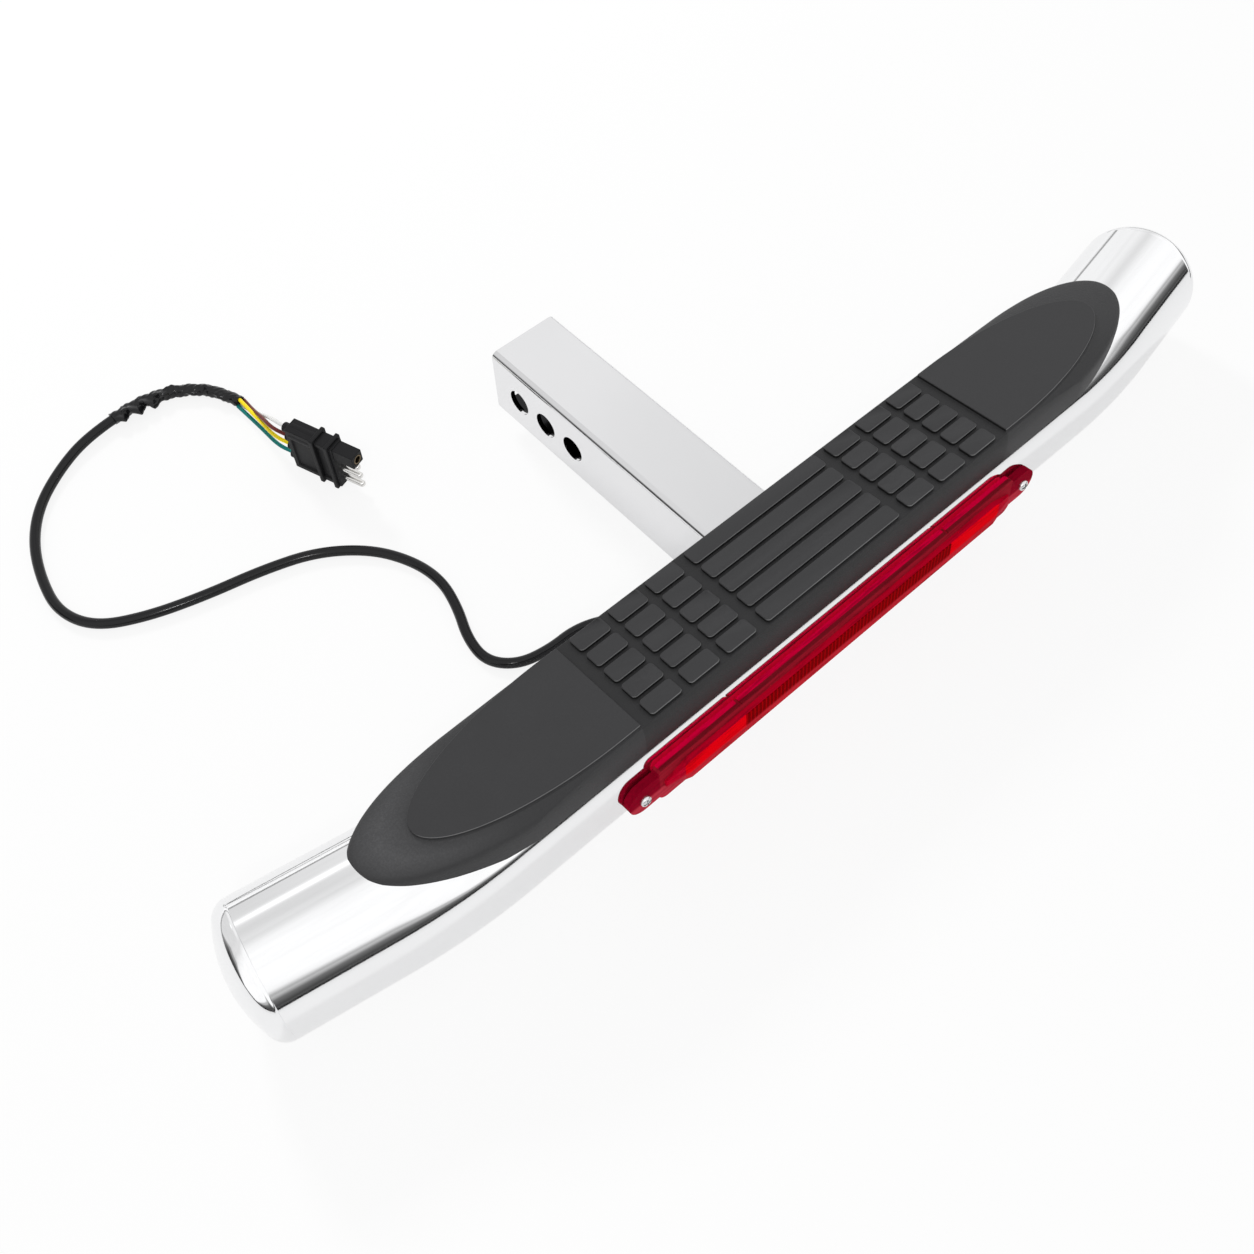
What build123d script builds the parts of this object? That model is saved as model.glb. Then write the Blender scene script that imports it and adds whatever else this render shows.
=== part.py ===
from build123d import *
import math
import os

# Hitch receiver step: a bent round step bar on a square receiver shank, with a moulded
# tread pad, a light bar on its rear face and a wired flat four-way plug.
# Sizes are in millimetres. X runs along the bar, +Y points to the vehicle and +Z is up.
# The origin is the middle of the second hitch-pin hole, on the centre line of the shank.

# Step tube and its end caps
tube_od = 76.2
tube_wall = 1.6
straight_length = 440.0
bend_radius = 350.0
bend_angle = 10.5
end_length = 61.0
cap_depth = 17.0
cap_knuckle = 11.0

# Roll of the pad and the light bar round the tube, their tops towards the vehicle
bar_roll = 5.5

# Receiver shank
shank_width = 50.0
shank_wall = 3.2
shank_corner = 4.5
shank_reach = 234.4
pin_hole_d = 17.0
pin_hole_pitch = 25.4
pin_hole_edge = 24.0
pin_hole_count = 3
weld_leg = 4.0
weld_fit = 0.05

# Tread pad: a flat plateau over a skirt that closes on the tube
pad_rise = 8.3
pad_straight = 300.0
pad_end = 106.0
pad_width = 67.0
pad_skirt_width = 70.8
pad_skirt_drop = 21.1
pad_nose_run = 32.0
pad_nose_straight = 400.0
pad_nose_turn = 5.5
pad_flare = 5.0
pad_gap = 0.2
pad_wall = 4.2
pad_relief = 1.2
rib_pitch = 40.0
rib_wall = 3.0

# Tread blocks on the pad
field_length = 276.0
tread_depth = 2.2
row_count = 5
row_pitch = 13.4
block_depth = 10.8
block_length = 20.9
block_pitch = 26.1
block_columns = 3
block_outer = 131.0
bar_length = 101.0
block_corner = 2.2

# Moulded studs that snap the pad into the tube
stud_d = 8.0
stud_places = (-200.0, -66.0, 66.0, 200.0)
stud_hole_gap = 0.3
barb_d = 10.6
barb_length = 5.0
barb_tip_d = 5.0

# Light bar on the rear face
lamp_gap = 0.3
lamp_body = 282.0
lamp_height = 28.0
lamp_corner = 6.0
ear_offset = 9.5
ear_d = 20.0
flange_depth = 5.0
bulge_margin = 4.0
bulge_height = 17.0
bulge_depth = 4.0
bulge_taper = 10.0
lens_wall = 1.8
lens_fit = 0.2
side_segment = 59.5
segment_notch = 2.0
notch_depth = 1.2
base_thickness = 2.0
board_width = 12.4
board_thickness = 1.6
board_margin = 8.0
led_length = 3.5
led_width = 2.8
led_height = 1.9
led_pitch = 9.0
side_led_count = 4
reflector_height = 11.0
reflector_depth = 2.8
reflector_corner = 2.2
reflector_margin = 8.0
window_length = 6.4
window_height = 8.0
window_edge = 3.0

# Self-tapping screws through the ears of the lens
screw_d = 4.2
screw_head_d = 8.4
screw_head_height = 2.8
screw_length = 16.0
screw_fit = 0.15
screw_drive_d = 4.0
screw_drive_depth = 1.2

# Cable, its grommet in the back wall of the tube and the lead behind the lamp
cable_d = 6.5
cable_fit = 0.1
cable_exit_x = -70.0
cable_exit_angle = 25.0
lead_hole_gap = 0.8
grommet_hole_d = 12.0
grommet_flange_d = 17.0
grommet_inner_d = 14.5
grommet_flange = 2.2
grommet_nose = 6.0
grommet_nose_wall = 1.4

# Tape wrap, wires and plug
tape_d = 9.5
wire_d = 2.6
wire_spacing = 3.9
plug_heading = -71.0
plug_length = 36.0
plug_height = 35.4
plug_thickness = 11.0
plug_corner = 4.0
plug_rib = 1.6
plug_rib_width = 3.0
plug_rib_places = (20.0, 31.0)
plug_boot_d = 6.6
plug_boot = 5.0
terminal_count = 4
terminal_pitch = 8.2
pin_d = 4.4
pin_length = 15.0
shroud_d = 9.6
socket_d = 6.4
socket_wall = 0.8
socket_fit = 0.1
socket_depth = 13.0

# Places worked out from the sizes above
tube_y = -(shank_reach - pin_hole_edge - pin_hole_pitch)
floor_z = -tube_od / 2
tube_id = tube_od - 2 * tube_wall
pad_top = tube_od / 2 + pad_rise
pad_skirt_height = tube_od / 2 - pad_skirt_drop
lamp_back = tube_od / 2 + lamp_gap
ear_spacing = lamp_body + 2 * ear_offset
middle_half = lamp_body / 2 - side_segment
reflector_half = lamp_body / 2 - bulge_margin - reflector_margin
shank_plane = Plane(origin=(0, tube_y, 0), x_dir=(1, 0, 0), z_dir=(0, 1, 0))
pad_place = Pos(0, tube_y, 0) * Rot(-bar_roll, 0, 0)
tilt = math.radians(bar_roll)
lamp_plane = Plane(
    origin=(0, tube_y, 0),
    x_dir=(1, 0, 0),
    z_dir=(0, -math.cos(tilt), math.sin(tilt)),
)
drop = math.radians(cable_exit_angle)
exit_plane = Plane(
    origin=(cable_exit_x, tube_y, 0),
    x_dir=(1, 0, 0),
    z_dir=(0, math.cos(drop), -math.sin(drop)),
)

# Route of the cable past its grommet, of the tape and of the wires: X, distance past the
# tube's centre line and height above the floor
cable_route = (
    (-77.0, 69.0, 6.0),
    (-95.0, 78.0, 3.25),
    (-115.0, 77.5, 3.25),
    (-135.0, 82.0, 3.25),
    (-147.5, 96.0, 3.25),
    (-146.0, 115.5, 3.25),
    (-137.0, 136.5, 3.25),
    (-132.0, 158.5, 3.25),
    (-136.0, 181.5, 3.25),
    (-150.0, 206.5, 3.25),
    (-176.0, 227.5, 3.25),
    (-208.0, 238.5, 3.25),
    (-243.0, 246.0, 3.25),
    (-277.0, 256.5, 3.25),
    (-304.0, 271.5, 3.25),
    (-315.0, 295.5, 3.25),
    (-311.0, 324.0, 3.25),
    (-301.0, 352.5, 3.25),
    (-284.0, 376.0, 3.25),
    (-259.0, 393.5, 3.7),
    (-234.0, 403.5, 4.75),
    (-214.0, 405.5, 4.75),
)
cable_straight = 20.0
tape_route = (
    (-214.0, 405.5, 4.75),
    (-196.0, 407.3, 4.75),
    (-177.5, 402.5, 4.75),
    (-160.5, 393.0, 4.75),
    (-149.0, 378.5, 4.75),
    (-143.5, 361.5, 4.75),
)
plug_place = (-142.5, 300.0)
wire_lead_out = 12.0
wire_lead_in = 12.0
wire_bow = 1.2
wire_rows = {"wire_green": 0, "wire_yellow": 1, "wire_brown": 2, "wire_white": 3}


def on_floor(point):
    """Place of a route point in the part's frame."""
    x, past_tube, height = point
    return Vector(x, tube_y + past_tube, floor_z + height)


def cord(name, points, diameter):
    """Round cord along straight runs joined by the largest arcs that fit between them."""
    points = [Vector(p) for p in points]
    runs = [b - a for a, b in zip(points, points[1:])]
    radii = []
    for before, after in zip(runs, runs[1:]):
        half_turn = math.radians(before.get_angle(after)) / 2
        radii.append(0.45 * min(before.length, after.length) / math.tan(half_turn))
    path = FilletPolyline(*points, radius=radii)
    section = Plane(origin=points[0], z_dir=runs[0]) * Circle(diameter / 2)
    solid = sweep(section, path)
    share = solid.volume / (math.pi * diameter**2 / 4 * path.length)
    smallest = min(radii) / diameter
    print(f"{name}: length {path.length:.0f}, volume share {share:.4f}")
    print(f"{name}: smallest radius {smallest:.1f} diameters")
    return solid


def bar_path():
    """Centre line of the step tube: a straight middle and two ends bent to the vehicle."""
    turn = math.radians(bend_angle)
    tangent = bend_radius * math.tan(turn / 2)
    corner = straight_length / 2 + tangent
    run = tangent + end_length
    end_x = corner + run * math.cos(turn)
    end_y = tube_y + run * math.sin(turn)
    points = ((-end_x, end_y), (-corner, tube_y), (corner, tube_y), (end_x, end_y))
    return FilletPolyline(*points, radius=bend_radius)


def bar(diameter):
    """Solid round bar along the centre line of the step tube."""
    path = bar_path()
    return sweep(Plane(origin=path @ 0, z_dir=path % 0) * Circle(diameter / 2), path)


def across(plane, x, diameter, start, end):
    """Cylinder square to a plane, between two distances from it."""
    disc = plane * Pos(x, 0, start) * Circle(diameter / 2)
    return extrude(disc, end - start)


def make_step_tube():
    """Bent round tube with holes for the pad's studs, the lamp and the cable."""
    tube = bar(tube_od) - bar(tube_id)
    half = tube_od / 2
    for x in stud_places:
        hole = Cylinder(stud_d / 2 + stud_hole_gap, tube_od / 2)
        tube -= pad_place * Pos(x, 0, half) * hole
    for x in (-ear_spacing / 2, ear_spacing / 2):
        tube -= across(lamp_plane, x, screw_d + 2 * screw_fit, half / 2, tube_od)
    tube -= across(lamp_plane, cable_exit_x, cable_d + 2 * lead_hole_gap, half / 2, tube_od)
    tube -= across(exit_plane, 0, grommet_hole_d, half / 2, tube_od)
    return tube


def dome(diameter, depth, knuckle):
    """Solid dome on the XY plane: a round crown that runs into a small knuckle at its rim."""
    reach = diameter / 2 - knuckle
    crown = ((diameter / 2) ** 2 - diameter * knuckle + depth**2) / (2 * (depth - knuckle))
    turn = math.degrees(math.atan2(crown - depth, reach))
    rim = CenterArc((reach, 0), knuckle, 0, turn)
    top = CenterArc((0, depth - crown), crown, turn, 90 - turn)
    half = make_face([rim, top, Line((0, depth), (0, 0)), Line((0, 0), (diameter / 2, 0))])
    return revolve(Plane.XZ * half, Axis.Z)


def make_end_cap(plane):
    """Pressed dome that closes one end of the tube."""
    cap = dome(tube_od, cap_depth, cap_knuckle)
    cap -= dome(tube_id, cap_depth - tube_wall, cap_knuckle - tube_wall)
    return plane * cap


def shank_prism(size, corner, length):
    """Rounded square bar from the tube's centre line towards the vehicle."""
    return extrude(shank_plane * RectangleRounded(size, size, corner), length)


def make_receiver_shank():
    """Square tube coped to the step tube, with pin holes near its open end."""
    bore_corner = max(shank_corner - shank_wall, 0.5)
    bore = shank_width - 2 * shank_wall
    shank = shank_prism(shank_width, shank_corner, shank_reach)
    shank -= shank_prism(bore, bore_corner, shank_reach)
    cope = Rot(0, 90, 0) * Cylinder(tube_od / 2 + weld_fit, 2 * shank_width)
    shank -= Pos(0, tube_y, 0) * cope
    for i in range(pin_hole_count):
        y = tube_y + shank_reach - pin_hole_edge - i * pin_hole_pitch
        shank -= Pos(0, y, 0) * Rot(0, 90, 0) * Cylinder(pin_hole_d / 2, 2 * shank_width)
    return shank


def make_shank_weld():
    """Fillet weld all round the shank, where it meets the step tube."""
    size = shank_width + 2 * weld_leg
    bead = shank_prism(size, shank_corner + weld_leg, tube_od)
    length = 2 * shank_width + 2 * weld_leg
    bead &= Pos(0, tube_y, 0) * Rot(0, 90, 0) * Cylinder(tube_od / 2 + weld_leg, length)
    rim = bead.faces().filter_by(GeomType.CYLINDER).sort_by(Axis.Y)[-1]
    bead = chamfer(rim.edges(), 0.7 * weld_leg)
    bead -= Pos(0, tube_y, 0) * Rot(0, 90, 0) * Cylinder(tube_od / 2 + weld_fit, length)
    bead -= shank_prism(shank_width + 2 * weld_fit, shank_corner + weld_fit, tube_od)
    return bead


def pad_outline(straight, end_reach, width, turn=0.0):
    """Long outline with straight sides and half-ellipse ends, turned to the vehicle."""
    x = straight / 2
    y = width / 2
    right = EllipticalCenterArc((x, 0), end_reach, y, -90, rotation=turn, arc_size=180)
    left = EllipticalCenterArc((-x, 0), end_reach, y, 90, rotation=-turn, arc_size=180)
    return make_face([Line(left @ 1, right @ 0), right, Line(right @ 1, left @ 0), left])


def pad_body(inset, grow):
    """Plateau and skirt of the pad, drawn in by an inset, down to the tube and grown by a gap."""
    skirt = pad_top - pad_skirt_height
    skirt_end = pad_end + pad_nose_run * skirt / pad_rise
    low_width = pad_skirt_width + 2 * pad_flare
    low = pad_outline(pad_straight, skirt_end - inset, low_width - 2 * inset, pad_nose_turn / 2)
    high = pad_outline(pad_straight, pad_end - inset, pad_width - 2 * inset)
    body = loft([Pos(0, 0, pad_skirt_height) * low, Pos(0, 0, pad_top - inset) * high], ruled=True)
    nose = (pad_straight - pad_nose_straight) / 2 + pad_end + pad_nose_run
    trim_width = pad_skirt_width - 2 * inset
    trim = pad_outline(pad_nose_straight, nose - inset, trim_width, pad_nose_turn)
    body &= extrude(trim, 2 * pad_top)
    return (pad_place * body) - bar(tube_od + 2 * grow)


def tread_blocks():
    """Sketch of the raised tread blocks: three columns at each end and long bars between."""
    side_first = block_outer - block_length / 2
    places = [side_first - i * block_pitch for i in range(block_columns)]
    blocks = Sketch()
    for row in range(row_count):
        y = (row - (row_count - 1) / 2) * row_pitch
        blocks += Pos(0, y) * RectangleRounded(bar_length, block_depth, block_corner)
        for x in places:
            blocks += Pos(x, y) * RectangleRounded(block_length, block_depth, block_corner)
            blocks += Pos(-x, y) * RectangleRounded(block_length, block_depth, block_corner)
    return blocks


def make_stud():
    """Barbed stud under the pad, from its top inside the pad to the tip inside the tube."""
    barb_top = math.sqrt((tube_id / 2) ** 2 - (barb_d / 2) ** 2) - pad_gap
    shaft = pad_top - (tread_depth + pad_wall) / 2 - barb_top
    stud = Pos(0, 0, barb_top + shaft / 2) * Cylinder(stud_d / 2, shaft)
    barb = Rot(180, 0, 0) * Cone(barb_d / 2, barb_tip_d / 2, barb_length)
    return stud + Pos(0, 0, barb_top - barb_length / 2) * barb


def pad_core():
    """Space under the pad's shell, between its ribs."""
    core = pad_body(pad_wall, 0)
    rib_height = 2 * pad_top
    count = int((pad_straight / 2 + pad_end) / rib_pitch)
    for i in range(-count, count + 1):
        core -= pad_place * Pos(i * rib_pitch, 0, 0) * Box(rib_wall, 2 * pad_skirt_width, rib_height)
    return core


def make_tread_pad():
    """Moulded pad: ribbed shell over the tube, tread blocks on top and studs below."""
    pad = pad_body(0, pad_gap) - pad_core()
    field_z = pad_top - tread_depth / 2
    pad -= pad_place * Pos(0, 0, field_z) * Box(field_length, 2 * pad_skirt_width, tread_depth)
    blocks = extrude(tread_blocks(), tread_depth)
    pad += pad_place * Pos(0, 0, pad_top - tread_depth) * blocks
    for x in stud_places:
        pad += pad_place * Pos(x, 0, 0) * make_stud()
    relief = shank_width + 2 * (weld_leg + pad_relief)
    return pad - shank_prism(relief, shank_corner + weld_leg, shank_reach)


def lens_outline():
    """Front view of the lens: a rounded bar with a narrower ear at each end."""
    body = RectangleRounded(lamp_body, lamp_height, lamp_corner)
    return body + SlotCenterToCenter(ear_spacing, ear_d)


def make_lamp_lens():
    """Red cover: a flange with ears and a tapered bulge, open at the back."""
    lens = extrude(Pos(0, 0, lamp_back) * lens_outline(), flange_depth)
    front = lamp_back + flange_depth
    length = lamp_body - 2 * bulge_margin
    bulge = RectangleRounded(length, bulge_height, lamp_corner)
    lens += extrude(Pos(0, 0, front) * bulge, bulge_depth, taper=bulge_taper)
    wall = 2 * lens_wall
    chamber = RectangleRounded(lamp_body - wall, lamp_height - wall, lamp_corner - lens_wall)
    lens -= extrude(Pos(0, 0, lamp_back) * chamber, flange_depth - lens_wall)
    hollow = RectangleRounded(length - wall, bulge_height - wall, lamp_corner - lens_wall)
    lens -= extrude(Pos(0, 0, front - lens_wall) * hollow, bulge_depth, taper=bulge_taper)
    for side in (-1, 1):
        hole = Cylinder(screw_d / 2 + screw_fit, 4 * flange_depth)
        lens -= Pos(side * ear_spacing / 2, 0, front) * hole
        notch = Box(segment_notch, 2 * notch_depth, 4 * flange_depth)
        for edge in (-1, 1):
            lens -= Pos(side * middle_half, edge * lamp_height / 2, front) * notch
    return lamp_plane * lens


def make_lamp_base():
    """Back plate that closes the lens, with a hole for the lead."""
    inset = 2 * (lens_wall + lens_fit)
    corner = lamp_corner - lens_wall - lens_fit
    plate = RectangleRounded(lamp_body - inset, lamp_height - inset, corner)
    base = extrude(Pos(0, 0, lamp_back) * plate, base_thickness)
    hole = Cylinder(cable_d / 2 + cable_fit, 4 * base_thickness)
    return lamp_plane * (base - Pos(cable_exit_x, 0, lamp_back) * hole)


def make_lamp_board():
    """Circuit board on the back plate."""
    board = Rectangle(lamp_body - 2 * (lens_wall + board_margin), board_width)
    return lamp_plane * extrude(Pos(0, 0, lamp_back + base_thickness) * board, board_thickness)


def middle_places():
    """Places of the diodes along the middle of the lamp."""
    count = int(2 * (middle_half - window_edge) / led_pitch)
    return [(i - (count - 1) / 2) * led_pitch for i in range(count)]


def side_window():
    """Middle and length of the window at each end of the lamp."""
    start = middle_half + window_edge
    end = reflector_half - window_edge
    return (start + end) / 2, end - start


def make_lamp_leds():
    """Diodes on the board: a close row in the middle and a wider one at each end."""
    centre, length = side_window()
    pitch = length / side_led_count
    side = [centre + (i - (side_led_count - 1) / 2) * pitch for i in range(side_led_count)]
    places = middle_places() + side + [-x for x in side]
    z = lamp_back + base_thickness + board_thickness + led_height / 2
    diode = Box(led_length, led_width, led_height)
    return Compound(children=[lamp_plane * (Pos(x, 0, z) * diode) for x in places])


def make_lamp_reflector():
    """Frame on the board with a window for each middle diode and one long window at each end."""
    z = lamp_back + base_thickness + board_thickness
    face = RectangleRounded(2 * reflector_half, reflector_height, reflector_corner)
    for x in middle_places():
        face -= Pos(x, 0) * Rectangle(window_length, window_height)
    centre, length = side_window()
    for sign in (-1, 1):
        face -= Pos(sign * centre, 0) * Rectangle(length, window_height)
    return lamp_plane * extrude(Pos(0, 0, z) * face, reflector_depth)


def make_lamp_screws():
    """One pan-head screw through each ear into the wall of the tube."""
    seat = lamp_back + flange_depth
    head = Cylinder(screw_head_d / 2, screw_head_height)
    head = fillet(head.edges().sort_by(Axis.Z)[-1], 0.45 * screw_head_height)
    head -= Pos(0, 0, screw_head_height / 2) * Cylinder(screw_drive_d / 2, 2 * screw_drive_depth)
    shaft = Pos(0, 0, -screw_head_height / 2 - screw_length / 2) * Cylinder(screw_d / 2, screw_length)
    screw = head + shaft
    place = seat + screw_head_height / 2
    sides = (-ear_spacing / 2, ear_spacing / 2)
    return Compound(children=[lamp_plane * (Pos(x, 0, place) * screw) for x in sides])


def make_cable_grommet():
    """Rubber grommet in the back wall of the tube, with a nose that steadies the cable."""
    bore = cable_d / 2 + cable_fit
    inner_top = math.sqrt((tube_id / 2) ** 2 - (grommet_inner_d / 2) ** 2) - cable_fit
    outer_low = tube_od / 2 + cable_fit
    neck = grommet_hole_d / 2 - cable_fit
    flange_top = outer_low + grommet_flange
    profile = Polyline(
        (bore, inner_top - grommet_flange),
        (grommet_inner_d / 2, inner_top - grommet_flange),
        (grommet_inner_d / 2, inner_top),
        (neck, inner_top),
        (neck, outer_low),
        (grommet_flange_d / 2, outer_low),
        (grommet_flange_d / 2, flange_top),
        (neck, flange_top),
        (bore + grommet_nose_wall, flange_top + grommet_nose),
        (bore, flange_top + grommet_nose),
        close=True,
    )
    return exit_plane * revolve(Plane.XZ * make_face(profile), Axis.Z)


def make_lamp_lead():
    """Lead from the board, across the inside of the tube, to the cable in the grommet."""
    start = lamp_plane.from_local_coords((cable_exit_x, 0, lamp_back + base_thickness))
    middle = Vector(cable_exit_x, tube_y, 0)
    end = exit_plane.from_local_coords((0, 0, tube_od / 2))
    return cord("lamp_lead", (start, middle, end), cable_d)


def make_cable():
    """Free cable from the grommet to the tape."""
    start = exit_plane.from_local_coords((0, 0, tube_od / 2))
    bend = exit_plane.from_local_coords((0, 0, tube_od / 2 + cable_straight))
    return cord("cable", [start, bend] + [on_floor(p) for p in cable_route], cable_d)


def make_tape_wrap():
    """Tape where the cable's jacket ends and its wires come out."""
    return cord("tape_wrap", [on_floor(p) for p in tape_route], tape_d)


def plug_frame():
    """Frame of the plug: local X along its axis to the pins, local Z up from the floor."""
    origin = on_floor((plug_place[0], plug_place[1], 0))
    heading = math.radians(plug_heading)
    return Plane(origin=origin, x_dir=(math.cos(heading), math.sin(heading), 0), z_dir=(0, 0, 1))


def terminal_height(row):
    """Height of one of the plug's terminals above the floor."""
    middle = plug_rib + plug_height / 2
    return middle + (row - (terminal_count - 1) / 2) * terminal_pitch


def make_wire(name):
    """One wire from the end of the tape into the back of the plug."""
    row = wire_rows[name]
    frame = plug_frame()
    tape_end = on_floor(tape_route[-1])
    out = (tape_end - on_floor(tape_route[-2])).normalized()
    aside = Vector(out.Y, -out.X, 0)
    side = wire_spacing / 2 if row % 2 else -wire_spacing / 2
    lift = wire_spacing / 2 if row > 1 else -wire_spacing / 2
    start = tape_end + aside * side + Vector(0, 0, lift)
    first = start + out * wire_lead_out
    end = frame.from_local_coords((0, 0, terminal_height(row)))
    last = frame.from_local_coords((-wire_lead_in, 0, terminal_height(row)))
    middle = (first + last) * 0.5 + aside * wire_bow
    return cord(name, (start, first, middle, last, end), wire_d)


def bars_along(frame, diameter, start, end, rows):
    """Round bars along the plug's axis, one at each of the given terminals."""
    shapes = []
    for row in rows:
        disc = Plane(origin=(start, 0, terminal_height(row)), z_dir=(1, 0, 0)) * Circle(diameter / 2)
        shapes.append(frame * extrude(disc, end - start))
    return shapes


def make_plug_body():
    """Moulded flat four-way plug that stands on its narrow side, with one shrouded terminal."""
    frame = plug_frame()
    middle = plug_rib + plug_height / 2
    side = Plane(origin=(plug_boot, 0, middle), x_dir=(0, 1, 0), z_dir=(1, 0, 0))
    body = extrude(side * RectangleRounded(plug_thickness, plug_height, plug_corner), plug_length)
    for x in plug_rib_places:
        rib = 2 * plug_rib
        ring = RectangleRounded(plug_thickness + rib, plug_height + rib, plug_corner + plug_rib)
        body += extrude(side * Pos(0, 0, x) * ring, plug_rib_width)
    body = frame * body
    for boot in bars_along(frame, plug_boot_d, 0, plug_boot, range(terminal_count)):
        body += boot
    front = plug_boot + plug_length
    top = [terminal_count - 1]
    for shroud in bars_along(frame, shroud_d, front, front + pin_length, top):
        body += shroud
    hole_d = socket_d + 2 * socket_fit
    for hole in bars_along(frame, hole_d, front + pin_length - socket_depth, front + pin_length, top):
        body -= hole
    return body


def make_plug_pins():
    """Bare bullet pins of the three lower terminals."""
    front = plug_boot + plug_length
    frame = plug_frame()
    pins = []
    for pin in bars_along(frame, pin_d, front, front + pin_length, range(terminal_count - 1)):
        tip = pin.faces().sort_by(frame_axis(frame))[-1]
        pins.append(fillet(tip.edges(), 0.45 * pin_d))
    return Compound(children=pins)


def frame_axis(frame):
    """Axis of the plug, from its wires to its pins."""
    return Axis(frame.origin, frame.x_dir)


def make_plug_socket():
    """Brass sleeve in the shrouded terminal."""
    front = plug_boot + plug_length + pin_length
    frame = plug_frame()
    top = [terminal_count - 1]
    sleeve = bars_along(frame, socket_d, front - socket_depth, front, top)[0]
    for bore in bars_along(frame, socket_d - 2 * socket_wall, front - socket_depth, front, top):
        sleeve -= bore
    return sleeve


def make_parts():
    """Every piece of the step, by its name."""
    path = bar_path()
    parts = {
        "step_tube": make_step_tube(),
        "end_cap_right": make_end_cap(Plane(origin=path @ 1, z_dir=path % 1)),
        "end_cap_left": make_end_cap(Plane(origin=path @ 0, z_dir=-(path % 0))),
        "receiver_shank": make_receiver_shank(),
        "shank_weld": make_shank_weld(),
        "tread_pad": make_tread_pad(),
        "lamp_lens": make_lamp_lens(),
        "lamp_base": make_lamp_base(),
        "lamp_board": make_lamp_board(),
        "lamp_leds": make_lamp_leds(),
        "lamp_reflector": make_lamp_reflector(),
        "lamp_screws": make_lamp_screws(),
        "lamp_lead": make_lamp_lead(),
        "cable_grommet": make_cable_grommet(),
        "cable": make_cable(),
        "tape_wrap": make_tape_wrap(),
        "plug_body": make_plug_body(),
        "plug_pins": make_plug_pins(),
        "plug_socket": make_plug_socket(),
    }
    for name in wire_rows:
        parts[name] = make_wire(name)
    return parts


os.makedirs("parts", exist_ok=True)
for part_name, shape in make_parts().items():
    export_step(shape, f"parts/{part_name}.step")
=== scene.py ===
import logging
import math
from dataclasses import dataclass
from enum import Enum
from typing import Any, Callable, Optional, Sequence, Union

import bmesh
import bpy
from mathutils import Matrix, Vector


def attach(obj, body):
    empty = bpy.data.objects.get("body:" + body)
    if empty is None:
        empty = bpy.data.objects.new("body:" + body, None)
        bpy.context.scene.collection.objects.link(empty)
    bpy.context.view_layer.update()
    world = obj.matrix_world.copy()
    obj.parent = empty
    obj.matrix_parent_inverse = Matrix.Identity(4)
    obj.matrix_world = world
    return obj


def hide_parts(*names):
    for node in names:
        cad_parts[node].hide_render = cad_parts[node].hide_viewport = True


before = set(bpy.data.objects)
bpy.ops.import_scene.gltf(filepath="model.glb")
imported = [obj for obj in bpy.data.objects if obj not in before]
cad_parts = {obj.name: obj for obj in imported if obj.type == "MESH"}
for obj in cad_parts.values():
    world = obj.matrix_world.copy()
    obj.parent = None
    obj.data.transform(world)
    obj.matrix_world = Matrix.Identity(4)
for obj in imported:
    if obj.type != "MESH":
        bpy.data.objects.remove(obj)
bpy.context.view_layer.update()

log = logging.getLogger("hitch_step")

Point = tuple[float, float, float]
Colour = tuple[float, float, float, float]
Stops = tuple[tuple[float, float], ...]

TUBE_Y = -0.185
TUBE_RADIUS = 0.0381
FLOOR_Z = -0.0381
BAR_ROLL = math.radians(5.5)
RAYS = ("Camera", "Transmission", "Glossy")
TAPE_FLAPS = (
    (0.05, 0.07, 2.9, 1.2), (0.12, 0.06, 2.3, 0.8), (0.18, 0.08, 3.0, 1.5), (0.25, 0.05, 2.5, 0.9),
    (0.31, 0.07, 3.1, 1.4), (0.38, 0.07, 2.2, 0.6), (0.47, 0.08, 1.2, 0.3), (0.60, 0.07, 2.8, 0.4),
    (0.72, 0.06, 1.6, 0.3), (0.84, 0.07, 2.6, 0.4),
)


class Element(Enum):
    """What the edit mode selects."""

    VERT = "VERT"
    EDGE = "EDGE"
    FACE = "FACE"


class Cut(Enum):
    """How one solid is combined with another."""

    UNITE = "UNION"
    CARVE = "DIFFERENCE"


class Slot(Enum):
    """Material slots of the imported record."""

    TUBE = "polished_steel"
    SHANK = "satin_steel"
    PAD = "pad_rubber"
    GROMMET = "cable_rubber"
    LENS = "red_lens"
    BACKING = "lamp_backing"
    BOARD = "circuit_board"
    DIODE = "led_dome"
    REFLECTOR = "lamp_reflector"
    SCREW = "screw_steel"
    JACKET = "cable_jacket"
    TAPE = "wrap_tape"
    PLUG = "plug_rubber"
    PIN = "plated_pin"
    SOCKET = "brass_socket"
    WHITE = "white_wire"
    BROWN = "brown_wire"
    YELLOW = "yellow_wire"
    GREEN = "green_wire"


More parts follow.
